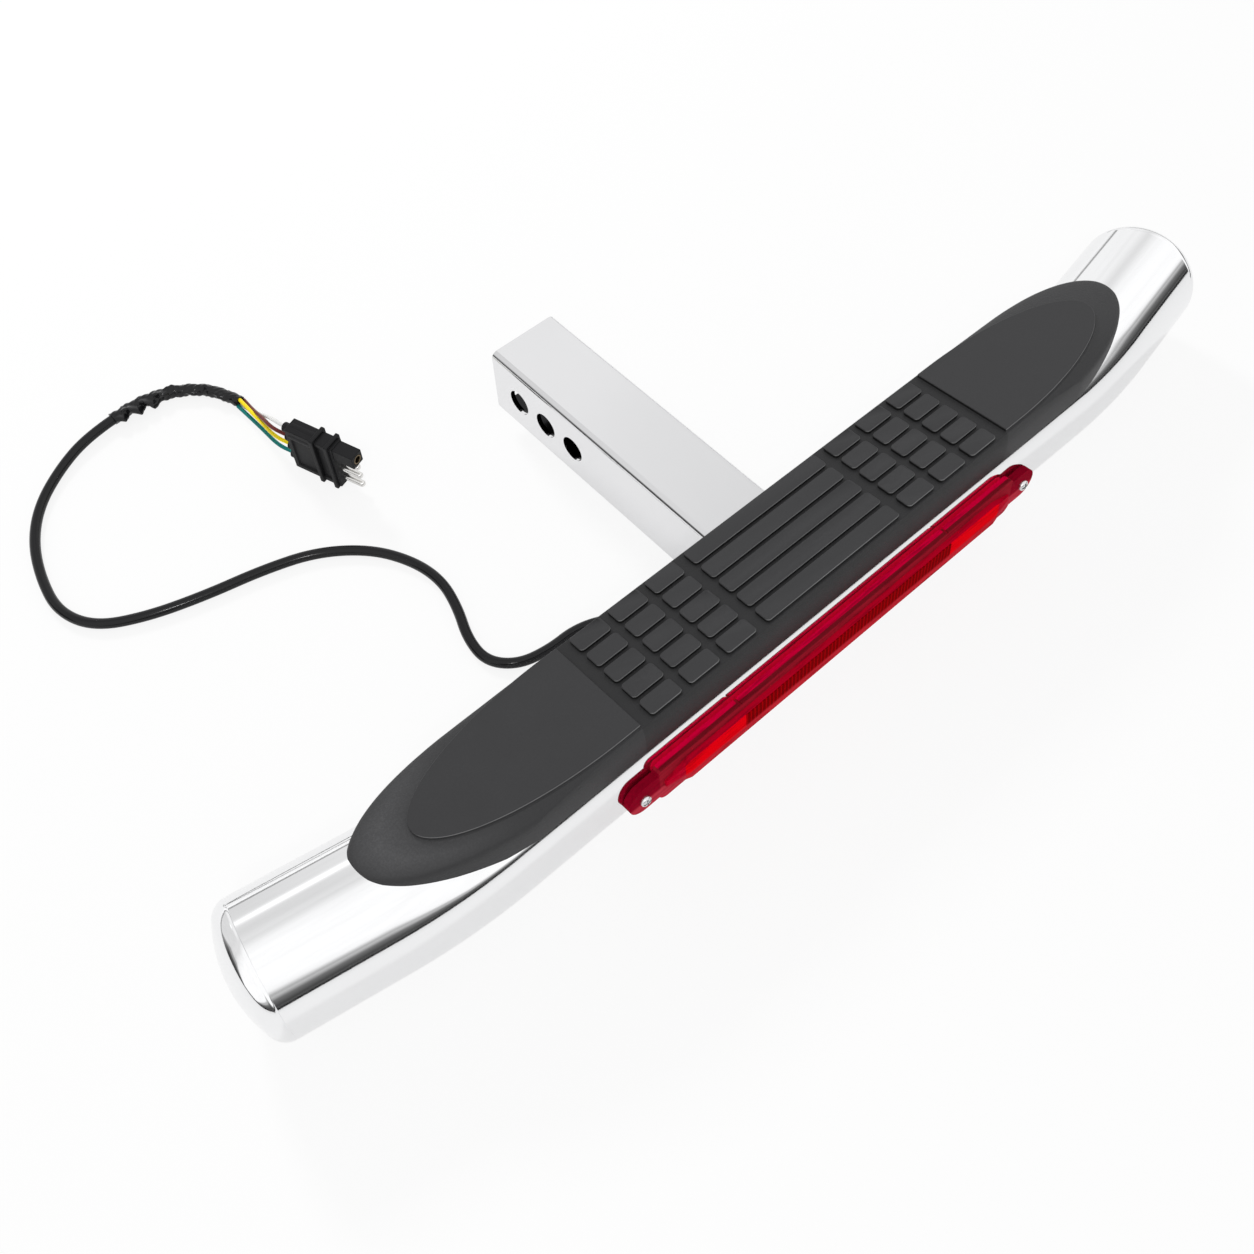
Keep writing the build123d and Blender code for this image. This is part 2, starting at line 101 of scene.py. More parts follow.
class Bench:
    """Modelling bench: Blender's operators, used on one piece at a time."""

    @staticmethod
    def clear() -> None:
        """Leaves edit mode and deselects everything."""
        active = bpy.context.view_layer.objects.active
        if active is not None and active.mode != "OBJECT":
            bpy.ops.object.mode_set(mode="OBJECT")
        bpy.ops.object.select_all(action="DESELECT")

    @staticmethod
    def take(*pieces: bpy.types.Object) -> bpy.types.Object:
        """Selects only these pieces and makes the first one active.

        Args:
            pieces: The pieces to select.

        Returns:
            The first piece.
        """
        Bench.clear()
        for piece in pieces:
            piece.select_set(True)
        bpy.context.view_layer.objects.active = pieces[0]
        return pieces[0]

    @staticmethod
    def edit(piece: bpy.types.Object) -> None:
        """Opens one piece in edit mode."""
        Bench.take(piece)
        bpy.ops.object.mode_set(mode="EDIT")

    @staticmethod
    def discard(*pieces: bpy.types.Object) -> None:
        """Deletes pieces that are used up."""
        Bench.take(*pieces)
        bpy.ops.object.delete()

    @staticmethod
    def named(name: str) -> bpy.types.Object:
        """Names the piece that an operator has just made, and its mesh.

        Args:
            name: The new name.

        Returns:
            The piece.
        """
        piece = bpy.context.object
        piece.name = name
        piece.data.name = name
        return piece

    @staticmethod
    def choose(piece: bpy.types.Object, kind: Element, test: Callable[[Any], bool]) -> None:
        """Selects the parts of an open mesh that pass a test.

        Args:
            piece: The piece, in edit mode.
            kind: Whether vertices, edges or faces are tested.
            test: Takes a vertex, edge or face and says whether it is selected.
        """
        bpy.ops.mesh.select_mode(type=kind.value)
        bpy.ops.mesh.select_all(action="DESELECT")
        mesh = bmesh.from_edit_mesh(piece.data)
        items = {Element.VERT: mesh.verts, Element.EDGE: mesh.edges, Element.FACE: mesh.faces}
        for item in items[kind]:
            if test(item):
                item.select_set(True)
        mesh.select_flush_mode()
        bmesh.update_edit_mesh(piece.data)

    @staticmethod
    def span(edge: bmesh.types.BMEdge, axis: int) -> float:
        """How far an edge runs along one axis."""
        return abs((edge.verts[0].co - edge.verts[1].co)[axis])

    @staticmethod
    def settle(
        piece: bpy.types.Object, move: Point = (0, 0, 0), turn: Point = (0, 0, 0)
    ) -> bpy.types.Object:
        """Turns and moves a piece, and puts its place into its mesh.

        Args:
            piece: The piece, as modelled.
            move: Where its origin goes.
            turn: Its turn about X, Y and Z, in radians.

        Returns:
            The piece, at the origin and unscaled.
        """
        Bench.take(piece)
        piece.location = Vector(piece.location) + Vector(move)
        piece.rotation_euler = turn
        bpy.ops.object.transform_apply(location=True, rotation=True, scale=True)
        return piece

    @staticmethod
    def modify(piece: bpy.types.Object, kind: str, **settings: Any) -> None:
        """Adds a modifier, sets it up and applies it.

        Args:
            piece: The piece to change.
            kind: Blender's name for the modifier.
            settings: Values for the modifier.
        """
        Bench.take(piece)
        modifier = piece.modifiers.new(kind, kind)
        for key, value in settings.items():
            setattr(modifier, key, value)
        bpy.ops.object.modifier_apply(modifier=modifier.name)

    @staticmethod
    def combine(piece: bpy.types.Object, other: bpy.types.Object, cut: Cut) -> None:
        """Unites a piece with another or carves it by the other, which is used up.

        Args:
            piece: The piece that stays.
            other: The solid that is added or taken away.
            cut: How the two are combined.
        """
        Bench.modify(piece, "BOOLEAN", operation=cut.value, object=other, solver="EXACT")
        Bench.discard(other)

    @staticmethod
    def copy(piece: bpy.types.Object, move: Point) -> bpy.types.Object:
        """Copies a piece, with a mesh of its own, to another place.

        Args:
            piece: The piece to copy.
            move: How far the copy lies from it.

        Returns:
            The copy.
        """
        Bench.take(piece)
        bpy.ops.object.duplicate(linked=False)
        return Bench.settle(bpy.context.object, move)

    @staticmethod
    def join(name: str, pieces: Sequence[bpy.types.Object]) -> bpy.types.Object:
        """Joins pieces into one object.

        Args:
            name: The name of the joined piece.
            pieces: What is joined.

        Returns:
            The joined piece.
        """
        Bench.take(*pieces)
        bpy.ops.object.join()
        return Bench.named(name)

    @staticmethod
    def merge(piece: bpy.types.Object) -> None:
        """Merges doubled vertices and turns all faces outwards.

        Args:
            piece: The piece to clean up.
        """
        Bench.edit(piece)
        bpy.ops.mesh.select_all(action="SELECT")
        bpy.ops.mesh.remove_doubles(threshold=1e-6)
        bpy.ops.mesh.normals_make_consistent(inside=False)
        Bench.clear()

    @staticmethod
    def smooth(piece: bpy.types.Object, degrees: float = 35.0) -> None:
        """Shades a piece smooth, apart from edges sharper than an angle."""
        Bench.take(piece)
        bpy.ops.object.shade_smooth_by_angle(angle=math.radians(degrees))

    @staticmethod
    def soften(piece: bpy.types.Object, width: float, segments: int = 2, degrees: float = 30.0) -> None:
        """Rounds the sharp edges of a piece and evens out its shading.

        Args:
            piece: The piece to finish.
            width: How far the rounding reaches from an edge, in metres.
            segments: Steps of the rounding.
            degrees: Edges sharper than this are rounded.
        """
        Bench.modify(
            piece,
            "BEVEL",
            width=width,
            segments=segments,
            limit_method="ANGLE",
            angle_limit=math.radians(degrees),
        )
        Bench.smooth(piece, 50.0)
        Bench.modify(piece, "WEIGHTED_NORMAL", weight=100, keep_sharp=True)

    @staticmethod
    def block(
        name: str, size: Point, centre: Point, corner: float = 0.0, segments: int = 5, narrow: float = 1.0
    ) -> bpy.types.Object:
        """Block with its four upright edges rounded.

        Args:
            name: The name of the block.
            size: Its size along X, Y and Z.
            centre: Its middle.
            corner: The radius of its upright edges.
            segments: Steps of the rounding.
            narrow: Size of its top in Y against its bottom.

        Returns:
            The block, with its place in its mesh.
        """
        Bench.clear()
        bpy.ops.mesh.primitive_cube_add(size=1.0, location=centre)
        piece = Bench.named(name)
        piece.scale = size
        Bench.settle(piece)
        Bench.edit(piece)
        if narrow != 1.0:
            Bench.choose(piece, Element.FACE, lambda face: face.normal.z > 0.9)
            inward = size[1] * (1 - narrow)
            bpy.ops.transform.resize(value=(1 - inward / size[0], narrow, 1), center_override=centre)
        if corner:
            upright = 0.9 * size[2]
            Bench.choose(piece, Element.EDGE, lambda edge: Bench.span(edge, 2) > upright)
            bpy.ops.mesh.bevel(offset=corner, segments=segments, affect="EDGES")
        Bench.clear()
        return piece

    @staticmethod
    def rod(name: str, radius: float, start: Point, end: Point, sides: int = 48) -> bpy.types.Object:
        """Round rod between two points.

        Args:
            name: The name of the rod.
            radius: Its radius.
            start: The middle of one end.
            end: The middle of the other end.
            sides: Faces round it.

        Returns:
            The rod, with its place in its mesh.
        """
        Bench.clear()
        run = Vector(end) - Vector(start)
        middle = (Vector(start) + Vector(end)) / 2
        bpy.ops.mesh.primitive_cylinder_add(
            vertices=sides,
            radius=radius,
            depth=run.length,
            location=middle,
            rotation=run.to_track_quat("Z", "Y").to_euler(),
        )
        piece = Bench.named(name)
        Bench.take(piece)
        bpy.ops.object.transform_apply(location=True, rotation=True, scale=True)
        return piece

    @staticmethod
    def lathe(name: str, profile: Sequence[tuple[float, float]], sides: int = 96) -> bpy.types.Object:
        """Turned piece about Z: a vertex is drawn out along a profile and spun round.

        Args:
            name: The name of the piece.
            profile: Radius and height of each point of the profile.
            sides: Faces round it.

        Returns:
            The turned piece, on the Z axis.
        """
        Bench.clear()
        points = [Vector((radius, 0.0, height)) for radius, height in profile]
        bpy.ops.mesh.primitive_plane_add(size=0.001, location=points[0])
        piece = Bench.named(name)
        Bench.settle(piece)
        Bench.edit(piece)
        bpy.ops.mesh.select_mode(type="VERT")
        bpy.ops.mesh.select_all(action="SELECT")
        bpy.ops.mesh.merge(type="CENTER")
        for before, after in zip(points, points[1:]):
            bpy.ops.mesh.extrude_vertices_move(TRANSFORM_OT_translate={"value": after - before})
        bpy.ops.mesh.select_all(action="SELECT")
        bpy.ops.mesh.spin(steps=sides, angle=math.tau, center=(0, 0, 0), axis=(0, 0, 1))
        Bench.merge(piece)
        return piece


class Value:
    """A node's output socket that can be used in Python expressions."""

    def __init__(self, paint: "Paint", socket: bpy.types.NodeSocket) -> None:
        """Keeps the socket and the paint that it belongs to."""
        self.paint = paint
        self.socket = socket

    def _math(self, operation: str, left: "Input", right: "Input") -> "Value":
        """Adds one Math node."""
        return self.paint.node("ShaderNodeMath", {"operation": operation}, {0: left, 1: right})

    def __add__(self, other: "Input") -> "Value":
        """Sum of two values."""
        return self._math("ADD", self, other)

    def __radd__(self, other: "Input") -> "Value":
        """Sum with a plain number first."""
        return self._math("ADD", other, self)

    def __sub__(self, other: "Input") -> "Value":
        """Difference of two values."""
        return self._math("SUBTRACT", self, other)

    def __rsub__(self, other: "Input") -> "Value":
        """Difference with a plain number first."""
        return self._math("SUBTRACT", other, self)

    def __mul__(self, other: "Input") -> "Value":
        """Product of two values."""
        return self._math("MULTIPLY", self, other)

    def __rmul__(self, other: "Input") -> "Value":
        """Product with a plain number first."""
        return self._math("MULTIPLY", other, self)

    def __truediv__(self, other: "Input") -> "Value":
        """Quotient of two values."""
        return self._math("DIVIDE", self, other)

    def __rtruediv__(self, other: "Input") -> "Value":
        """Quotient with a plain number first."""
        return self._math("DIVIDE", other, self)

    def __abs__(self) -> "Value":
        """Size of the value without its sign."""
        return self._math("ABSOLUTE", self, 0.0)

    def above(self, limit: "Input") -> "Value":
        """1 where the value is over a limit, otherwise 0."""
        return self._math("GREATER_THAN", self, limit)

    def most(self, other: "Input") -> "Value":
        """The larger of two values."""
        return self._math("MAXIMUM", self, other)


Input = Union[Value, float, Sequence[float]]


class Paint:
    """One material, or the world, while its nodes are put together."""

    def __init__(self, name: str, world: Optional[bpy.types.World] = None) -> None:
        """Starts an empty node tree.

        Args:
            name: The material's name.
            world: The world, where the nodes are for it and not for a material.
        """
        self.owner = world or bpy.data.materials.new(name)
        self.owner.use_nodes = True
        self.tree = self.owner.node_tree
        self.tree.nodes.clear()

    def node(
        self,
        kind: str,
        settings: Optional[dict[str, Any]] = None,
        inputs: Optional[dict[Union[int, str], Input]] = None,
        output: Union[int, str] = 0,
    ) -> Value:
        """Adds one node.

        Args:
            kind: Blender's type of the node.
            settings: Its own settings, set first; "stops" are the stops of a ramp.
            inputs: Values or links of its sockets.
            output: Which output is used.

        Returns:
            The output.
        """
        node = self.tree.nodes.new(kind)
        for key, value in (settings or {}).items():
            if key == "stops":
                elements = node.color_ramp.elements
                while len(elements) < len(value):
                    elements.new(0.5)
                for element, (position, colour) in zip(elements, value):
                    element.position = position
                    element.color = colour
            else:
                setattr(node, key, value)
        for key, value in (inputs or {}).items():
            if isinstance(value, Value):
                self.tree.links.new(value.socket, node.inputs[key])
            else:
                node.inputs[key].default_value = value
        return Value(self, node.outputs[output])

    def place(self, stretch: Point = (1, 1, 1), turn: Point = (0, 0, 0)) -> Value:
        """Object coordinates, stretched and turned.

        Args:
            stretch: How many times finer the pattern is along X, Y and Z.
            turn: The pattern's turn, in radians.

        Returns:
            The coordinates.
        """
        spot = self.node("ShaderNodeTexCoord", output="Object")
        inputs = {"Vector": spot, "Rotation": turn, "Scale": stretch}
        return self.node("ShaderNodeMapping", {"vector_type": "POINT"}, inputs)

    def bench(self, place: Point, turn: Point) -> Value:
        """Object coordinates as a piece lay on the bench, before it was turned and put in its place.

        Args:
            place: Where the piece was put.
            turn: How it was turned, in radians.

        Returns:
            The coordinates.
        """
        spot = self.node("ShaderNodeTexCoord", output="Object")
        inputs = {"Vector": spot, "Location": place, "Rotation": turn}
        return self.node("ShaderNodeMapping", {"vector_type": "TEXTURE"}, inputs)

    def parts(self, place: Value) -> list[Value]:
        """X, Y and Z of a place."""
        return [self.node("ShaderNodeSeparateXYZ", inputs={0: place}, output=axis) for axis in "XYZ"]

    def rays(self) -> list[Value]:
        """Whether the camera, glass or a mirror looks this way, each 0 or 1."""
        return [self.node("ShaderNodeLightPath", output=f"Is {kind} Ray") for kind in RAYS]

    def noise(self, place: Value, scale: float, detail: float = 3.0, rough: float = 0.55) -> Value:
        """Cloudy noise from 0 to 1.

        Args:
            place: Where the pattern is read.
            scale: How fine it is, per metre.
            detail: Its layers.
            rough: How strong the finer layers are.

        Returns:
            The noise.
        """
        return self.node(
            "ShaderNodeTexNoise",
            inputs={"Vector": place, "Scale": scale, "Detail": detail, "Roughness": rough},
        )

    def cells(self, place: Value, scale: float) -> Value:
        """Distance to the nearest of scattered points."""
        return self.node("ShaderNodeTexVoronoi", inputs={"Vector": place, "Scale": scale})

    def ramp(self, value: Value, *stops: tuple[float, float]) -> Value:
        """Grey ramp over a value.

        Args:
            value: What is ramped.
            stops: Position and level of each stop.

        Returns:
            The ramped value.
        """
        colours = [(position, (level, level, level, 1.0)) for position, level in stops]
        return self.node("ShaderNodeValToRGB", {"stops": colours}, {"Fac": value})

    def blend(self, factor: Input, first: Union[Value, Colour], second: Union[Value, Colour]) -> Value:
        """Mixes two colours by a factor."""
        return self.node("ShaderNodeMix", {"data_type": "RGBA"}, {0: factor, 6: first, 7: second}, 2)

    def bump(self, height: Value, strength: float, distance: float) -> Value:
        """Normal from a height.

        Args:
            height: The height, from 0 to 1.
            strength: How strong the relief is.
            distance: How deep it is, in metres.

        Returns:
            The normal.
        """
        return self.node(
            "ShaderNodeBump", inputs={"Height": height, "Strength": strength, "Distance": distance}
        )

    def shader(self, **inputs: Input) -> Value:
        """Principled shader, its socket names written with underscores."""
        sockets = {key.replace("_", " "): value for key, value in inputs.items()}
        return self.node("ShaderNodeBsdfPrincipled", inputs=sockets)

    def surface(self, shader: Value) -> Union[bpy.types.Material, bpy.types.World]:
        """Links a shader to the output.

        Args:
            shader: The finished shader.

        Returns:
            The material or the world.
        """
        world = isinstance(self.owner, bpy.types.World)
        out = self.tree.nodes.new("ShaderNodeOutputWorld" if world else "ShaderNodeOutputMaterial")
        self.tree.links.new(shader.socket, out.inputs["Surface"])
        return self.owner


def shade(red: float, green: float, blue: float) -> Colour:
    """Opaque colour from its linear parts."""
    return (red, green, blue, 1.0)


@dataclass(frozen=True)
class Steel:
    """Steel, from a mirror polish to a satin brush."""

    colour: Colour = shade(0.92, 0.922, 0.93)
    rough: float = 0.04
    spread: float = 0.03
    grain: Point = (3.0, 60.0, 60.0)
    relief: float = 0.004
    bore: float = 0.0
    rim: float = 0.0
    bore_scale_and_shade: Colour = shade(0.030, 0.030, 0.031)

    def material(self, name: str) -> bpy.types.Material:
        """Steel with cloudy gloss, fine lines along its grain and, in a square bore, mill scale darkened to
        near black as painted shade.

        Args:
            name: The material's name.

        Returns:
            The material.
        """
        paint = Paint(name)
        cloud = paint.noise(paint.place(), 14.0, 3.0)
        lines = paint.noise(paint.place(self.grain), 18.0, 5.0, 0.65)
        dark = shade(*(0.93 * part for part in self.colour[:3]))
        colour = paint.blend(cloud * lines, self.colour, dark)
        if self.bore:
            across, along, up = paint.parts(paint.place())
            outside = abs(across).most(abs(up)).above(self.bore).most(along.above(self.rim))
            # Inside the square bore: mill scale, darkened to near black as painted shade of the hollow.
            colour = paint.blend(outside, self.bore_scale_and_shade, colour)
        return paint.surface(
            paint.shader(
                Base_Color=colour,
                Metallic=1.0,
                Roughness=self.rough + self.spread * cloud + self.spread * lines,
                Normal=paint.bump(lines, self.relief, 0.001),
            )
        )


@dataclass(frozen=True)
class WeldSteel:
    """Bare weld bead with its ripples."""

    colour: Colour = shade(0.62, 0.61, 0.60)
    heat: Colour = shade(0.36, 0.32, 0.28)

    def material(self, name: str) -> bpy.types.Material:
        """Steel with ripples and a little heat colour.

        Args:
            name: The material's name.

        Returns:
            The material.
        """
        paint = Paint(name)
        ripple = paint.node(
            "ShaderNodeTexWave",
            {"bands_direction": "DIAGONAL"},
            {"Vector": paint.place(), "Scale": 140.0, "Distortion": 2.0, "Detail": 2.0},
        )
        stain = paint.noise(paint.place(), 60.0, 4.0)
        return paint.surface(
            paint.shader(
                Base_Color=paint.blend(stain, self.colour, self.heat),
                Metallic=1.0,
                Roughness=0.28 + 0.25 * stain,
                Normal=paint.bump(ripple, 0.5, 0.0006),
            )
        )


@dataclass(frozen=True)
class MouldedRubber:
    """Moulded rubber with a fine grain, small pits and paler scuffs."""

    colour: Colour = shade(0.031, 0.031, 0.0325)
    scuff: Colour = shade(0.048, 0.048, 0.050)
    rough: float = 0.50
    grain: float = 850.0
    pits: float = 150.0
    depth: float = 0.0007
    gloss: float = 0.34
    groove: float = 0.0
    wall: float = 0.0022
    field: float = 0.139
    nose: float = 0.245
    # Pale rim colour: painted highlight and wear on the rims of blocks and raised ends.
    edge: Colour = shade(0.240, 0.240, 0.243)
    # Colour of the painted sheen on the left end's slope.
    nose_sheen_colour: Colour = shade(0.098, 0.098, 0.102)
    groove_shade: Colour = shade(0.021, 0.021, 0.022)
    block_side_shade: Colour = shade(0.004, 0.004, 0.004)

    def material(self, name: str) -> bpy.types.Material:
        """Dark rubber with grain in its bump and gloss; on a tread, painted shade in the grooves and on the
        block sides, a painted highlight with wear on the rims and a painted sheen on the left end's slope.

        Args:
            name: The material's name.

        Returns:
            The material.
        """
        paint = Paint(name)
        place = paint.place()
        fine = paint.noise(place, self.grain, 2.0)
        cloud = paint.noise(place, 45.0, 4.0, 0.6)
        near = paint.cells(place, self.pits)
        sparse = paint.noise(place, 75.0, 1.0).above(0.60)
        pit = paint.ramp(near, (0.0, 1.0), (0.16, 0.0)) * sparse
        height = 0.60 * fine + 0.06 * cloud - pit
        colour = paint.blend(cloud * fine, self.colour, self.scuff)
        if self.groove:
            level = paint.parts(paint.bench((0.0, TUBE_Y, 0.0), (-BAR_ROLL, 0.0, 0.0)))[2]
            raised = paint.ramp((level - self.groove) / 0.004 + 0.5, (0.50, 0.0), (0.80, 1.0))
            field = 1.0 - abs(paint.parts(place)[0]).above(self.field)
            # Painted shade: the groove floor between the tread blocks is darkened.
            colour = paint.blend(field * (1.0 - raised), colour, self.groove_shade)
            height = height * (1.0 - 0.85 * raised)
            wall = (level - self.groove) / self.wall
            side = paint.ramp(wall, (0.03, 0.0), (0.12, 1.0), (0.60, 1.0), (0.70, 0.0))
            # Painted shade: the side walls of the blocks and raised ends are darkened to near black.
            colour = paint.blend(side * (0.25 + 0.75 * field), colour, self.block_side_shade)
            worn = paint.ramp(wall, (0.70, 0.0), (0.78, 1.0), (0.93, 1.0), (0.975, 0.0))
            toward = paint.parts(paint.node("ShaderNodeTexCoord", output="Normal"))[1]
            front_facing = paint.ramp(0.5 - 0.45 * toward, (0.48, 0.08), (0.70, 1.0))
            # Painted highlight and wear: the top rims of blocks and raised ends are paler, most on sides
            # facing -Y.
            colour = paint.blend(worn * front_facing * (0.35 + 0.65 * cloud), colour, self.edge)
            slope = paint.ramp(0.5 - paint.parts(place)[0] - self.nose, (0.47, 0.0), (0.53, 1.0))
            slope = slope * paint.ramp(wall, (0.0, 1.0), (0.02, 0.0))
            sheen = paint.ramp((level - self.groove) / 0.006 + 1.0, (0.10, 0.0), (0.62, 1.0), (1.0, 0.55))
            sheen_mottle = 0.30 + 0.45 * cloud + 0.25 * paint.ramp(fine, (0.42, 0.0), (0.64, 1.0))
            # Painted sheen: the slope of the left end is paler just below its raised end, mottled.
            colour = paint.blend(slope * sheen * sheen_mottle, colour, self.nose_sheen_colour)
        return paint.surface(
            paint.shader(
                Base_Color=colour,
                Roughness=self.rough + 0.12 * cloud + 0.08 * fine,
                Specular_IOR_Level=self.gloss,
                Normal=paint.bump(height, 0.55, self.depth),
            )
        )


@dataclass(frozen=True)
class RedLens:
    """Clear red plastic of the light bar's cover, each face painted as bright or dark as what lies behind
    it: painted light and shade, with the pale floor painted through its bottom edge.
    """

    # Each tone is painted light or shade through the clear plastic: bright where lit parts lie behind a
    # face, dark where shade does.
    lit_plate_edge: Colour = shade(1.00, 0.000, 0.062)
    shaded_plate_lip: Colour = shade(0.270, 0.012, 0.022)
    plate_face: Colour = shade(0.420, 0.014, 0.032)
    ear: Colour = shade(0.34, 0.002, 0.020)
    ridge: Colour = shade(0.66, 0.002, 0.028)
    lit_window: Colour = shade(1.00, 0.000, 0.012)
    rib: Colour = shade(0.20, 0.000, 0.002)
    gap: Colour = shade(0.42, 0.000, 0.004)
    # low: painted light of the pale floor seen through the bottom edge.
    low: Colour = shade(0.66, 0.048, 0.080)
    streak: Colour = shade(0.16, 0.002, 0.010)
    place: Point = (0.0, TUBE_Y, 0.0)
    turn: Point = (math.pi / 2 - BAR_ROLL, 0.0, 0.0)
    face_out: float = 0.0437
    front_out: float = 0.0468
    edge_high: float = 0.0131
    lip_out: float = 0.0412
    window_start: float = 0.0815
    ear_start: float = 0.1395
    rib_pitch: float = 0.0028
    rib_share: float = 0.34

    def material(self, name: str) -> bpy.types.Material:
        """Tinted clear plastic with moulding waves; painted light in two bright windows and along the top
        edge, painted shade in the ribs between the windows and on the lip, and the pale floor painted
        through the bottom edge.

        Args:
            name: The material's name.

        Returns:
            The material.
        """
        paint = Paint(name)
        along, high, out = paint.parts(paint.bench(self.place, self.turn))
        streaks = paint.noise(paint.place((5.0, 60.0, 60.0)), 9.0, 4.0, 0.6)
        flow = paint.noise(paint.place(), 60.0, 3.0)
        step = paint.node("ShaderNodeMath", {"operation": "FRACT"}, {0: along / self.rib_pitch})
        ladder = step.above(self.rib_share)
        front = paint.blend(ladder, self.gap, self.rib)
        front = paint.blend(abs(along).above(self.window_start), front, self.lit_window)
        bulge = paint.blend(out.above(self.front_out), self.ridge, front)
        plate = paint.blend(abs(along).above(self.ear_start), self.plate_face, self.ear)
        # Painted light along the top edge, painted shade on its lip.
        edge = paint.blend(out.above(self.lip_out), self.lit_plate_edge, self.shaded_plate_lip)
        plate = paint.blend(high.above(self.edge_high), plate, edge)
        colour = paint.blend(out.above(self.face_out), plate, bulge)
        # Painted light: the pale floor showing through the bottom edge of the cover.
        floor_showing_through = paint.ramp(0.5 - 40.0 * high, (0.54, 0.0), (0.64, 1.0))
        colour = paint.blend(floor_showing_through, colour, self.low)
        dim = paint.ramp(streaks, (0.30, 0.55), (0.52, 0.0))
        colour = paint.blend(dim, colour, self.streak)
        return paint.surface(
            paint.shader(
                Base_Color=colour,
                Roughness=0.05 + 0.08 * flow,
                Metallic=out.above(self.front_out) * (0.30 + 0.2 * flow),
                Transmission_Weight=0.14,
                Specular_IOR_Level=0.06,
                Specular_Tint=shade(1.0, 0.10, 0.14),
                IOR=1.04,
                Normal=paint.bump(streaks, 0.05, 0.001),
            )
        )


@dataclass(frozen=True)
class Plastic:
    """Plain plastic or lacquer with a fine flow grain."""

    colour: Colour
    tint: Colour
    rough: float = 0.3
    spread: float = 0.15
    scale: float = 220.0
    relief: float = 0.12
    depth: float = 0.0002
    gloss: float = 0.5
    # glow: emission strength; painted light, as no lamp is in the piece.
    glow: float = 0.0

    def material(self, name: str) -> bpy.types.Material:
        """Plastic with cloudy colour and gloss, a slight relief and, where glow is set, painted light: it
        glows in its own colour though no lamp is in it.

        Args:
            name: The material's name.

        Returns:
            The material.
        """
        paint = Paint(name)
        place = paint.place()
        cloud = paint.noise(place, self.scale, 4.0, 0.6)
        fine = paint.noise(place, 8.0 * self.scale, 2.0)
        colour = paint.blend(cloud, self.colour, self.tint)
        return paint.surface(
            paint.shader(
                Base_Color=colour,
                Roughness=self.rough + self.spread * cloud,
                Specular_IOR_Level=self.gloss,
                Emission_Color=colour,
                Emission_Strength=self.glow,
                Normal=paint.bump(cloud + 0.3 * fine, self.relief, self.depth),
            )
        )


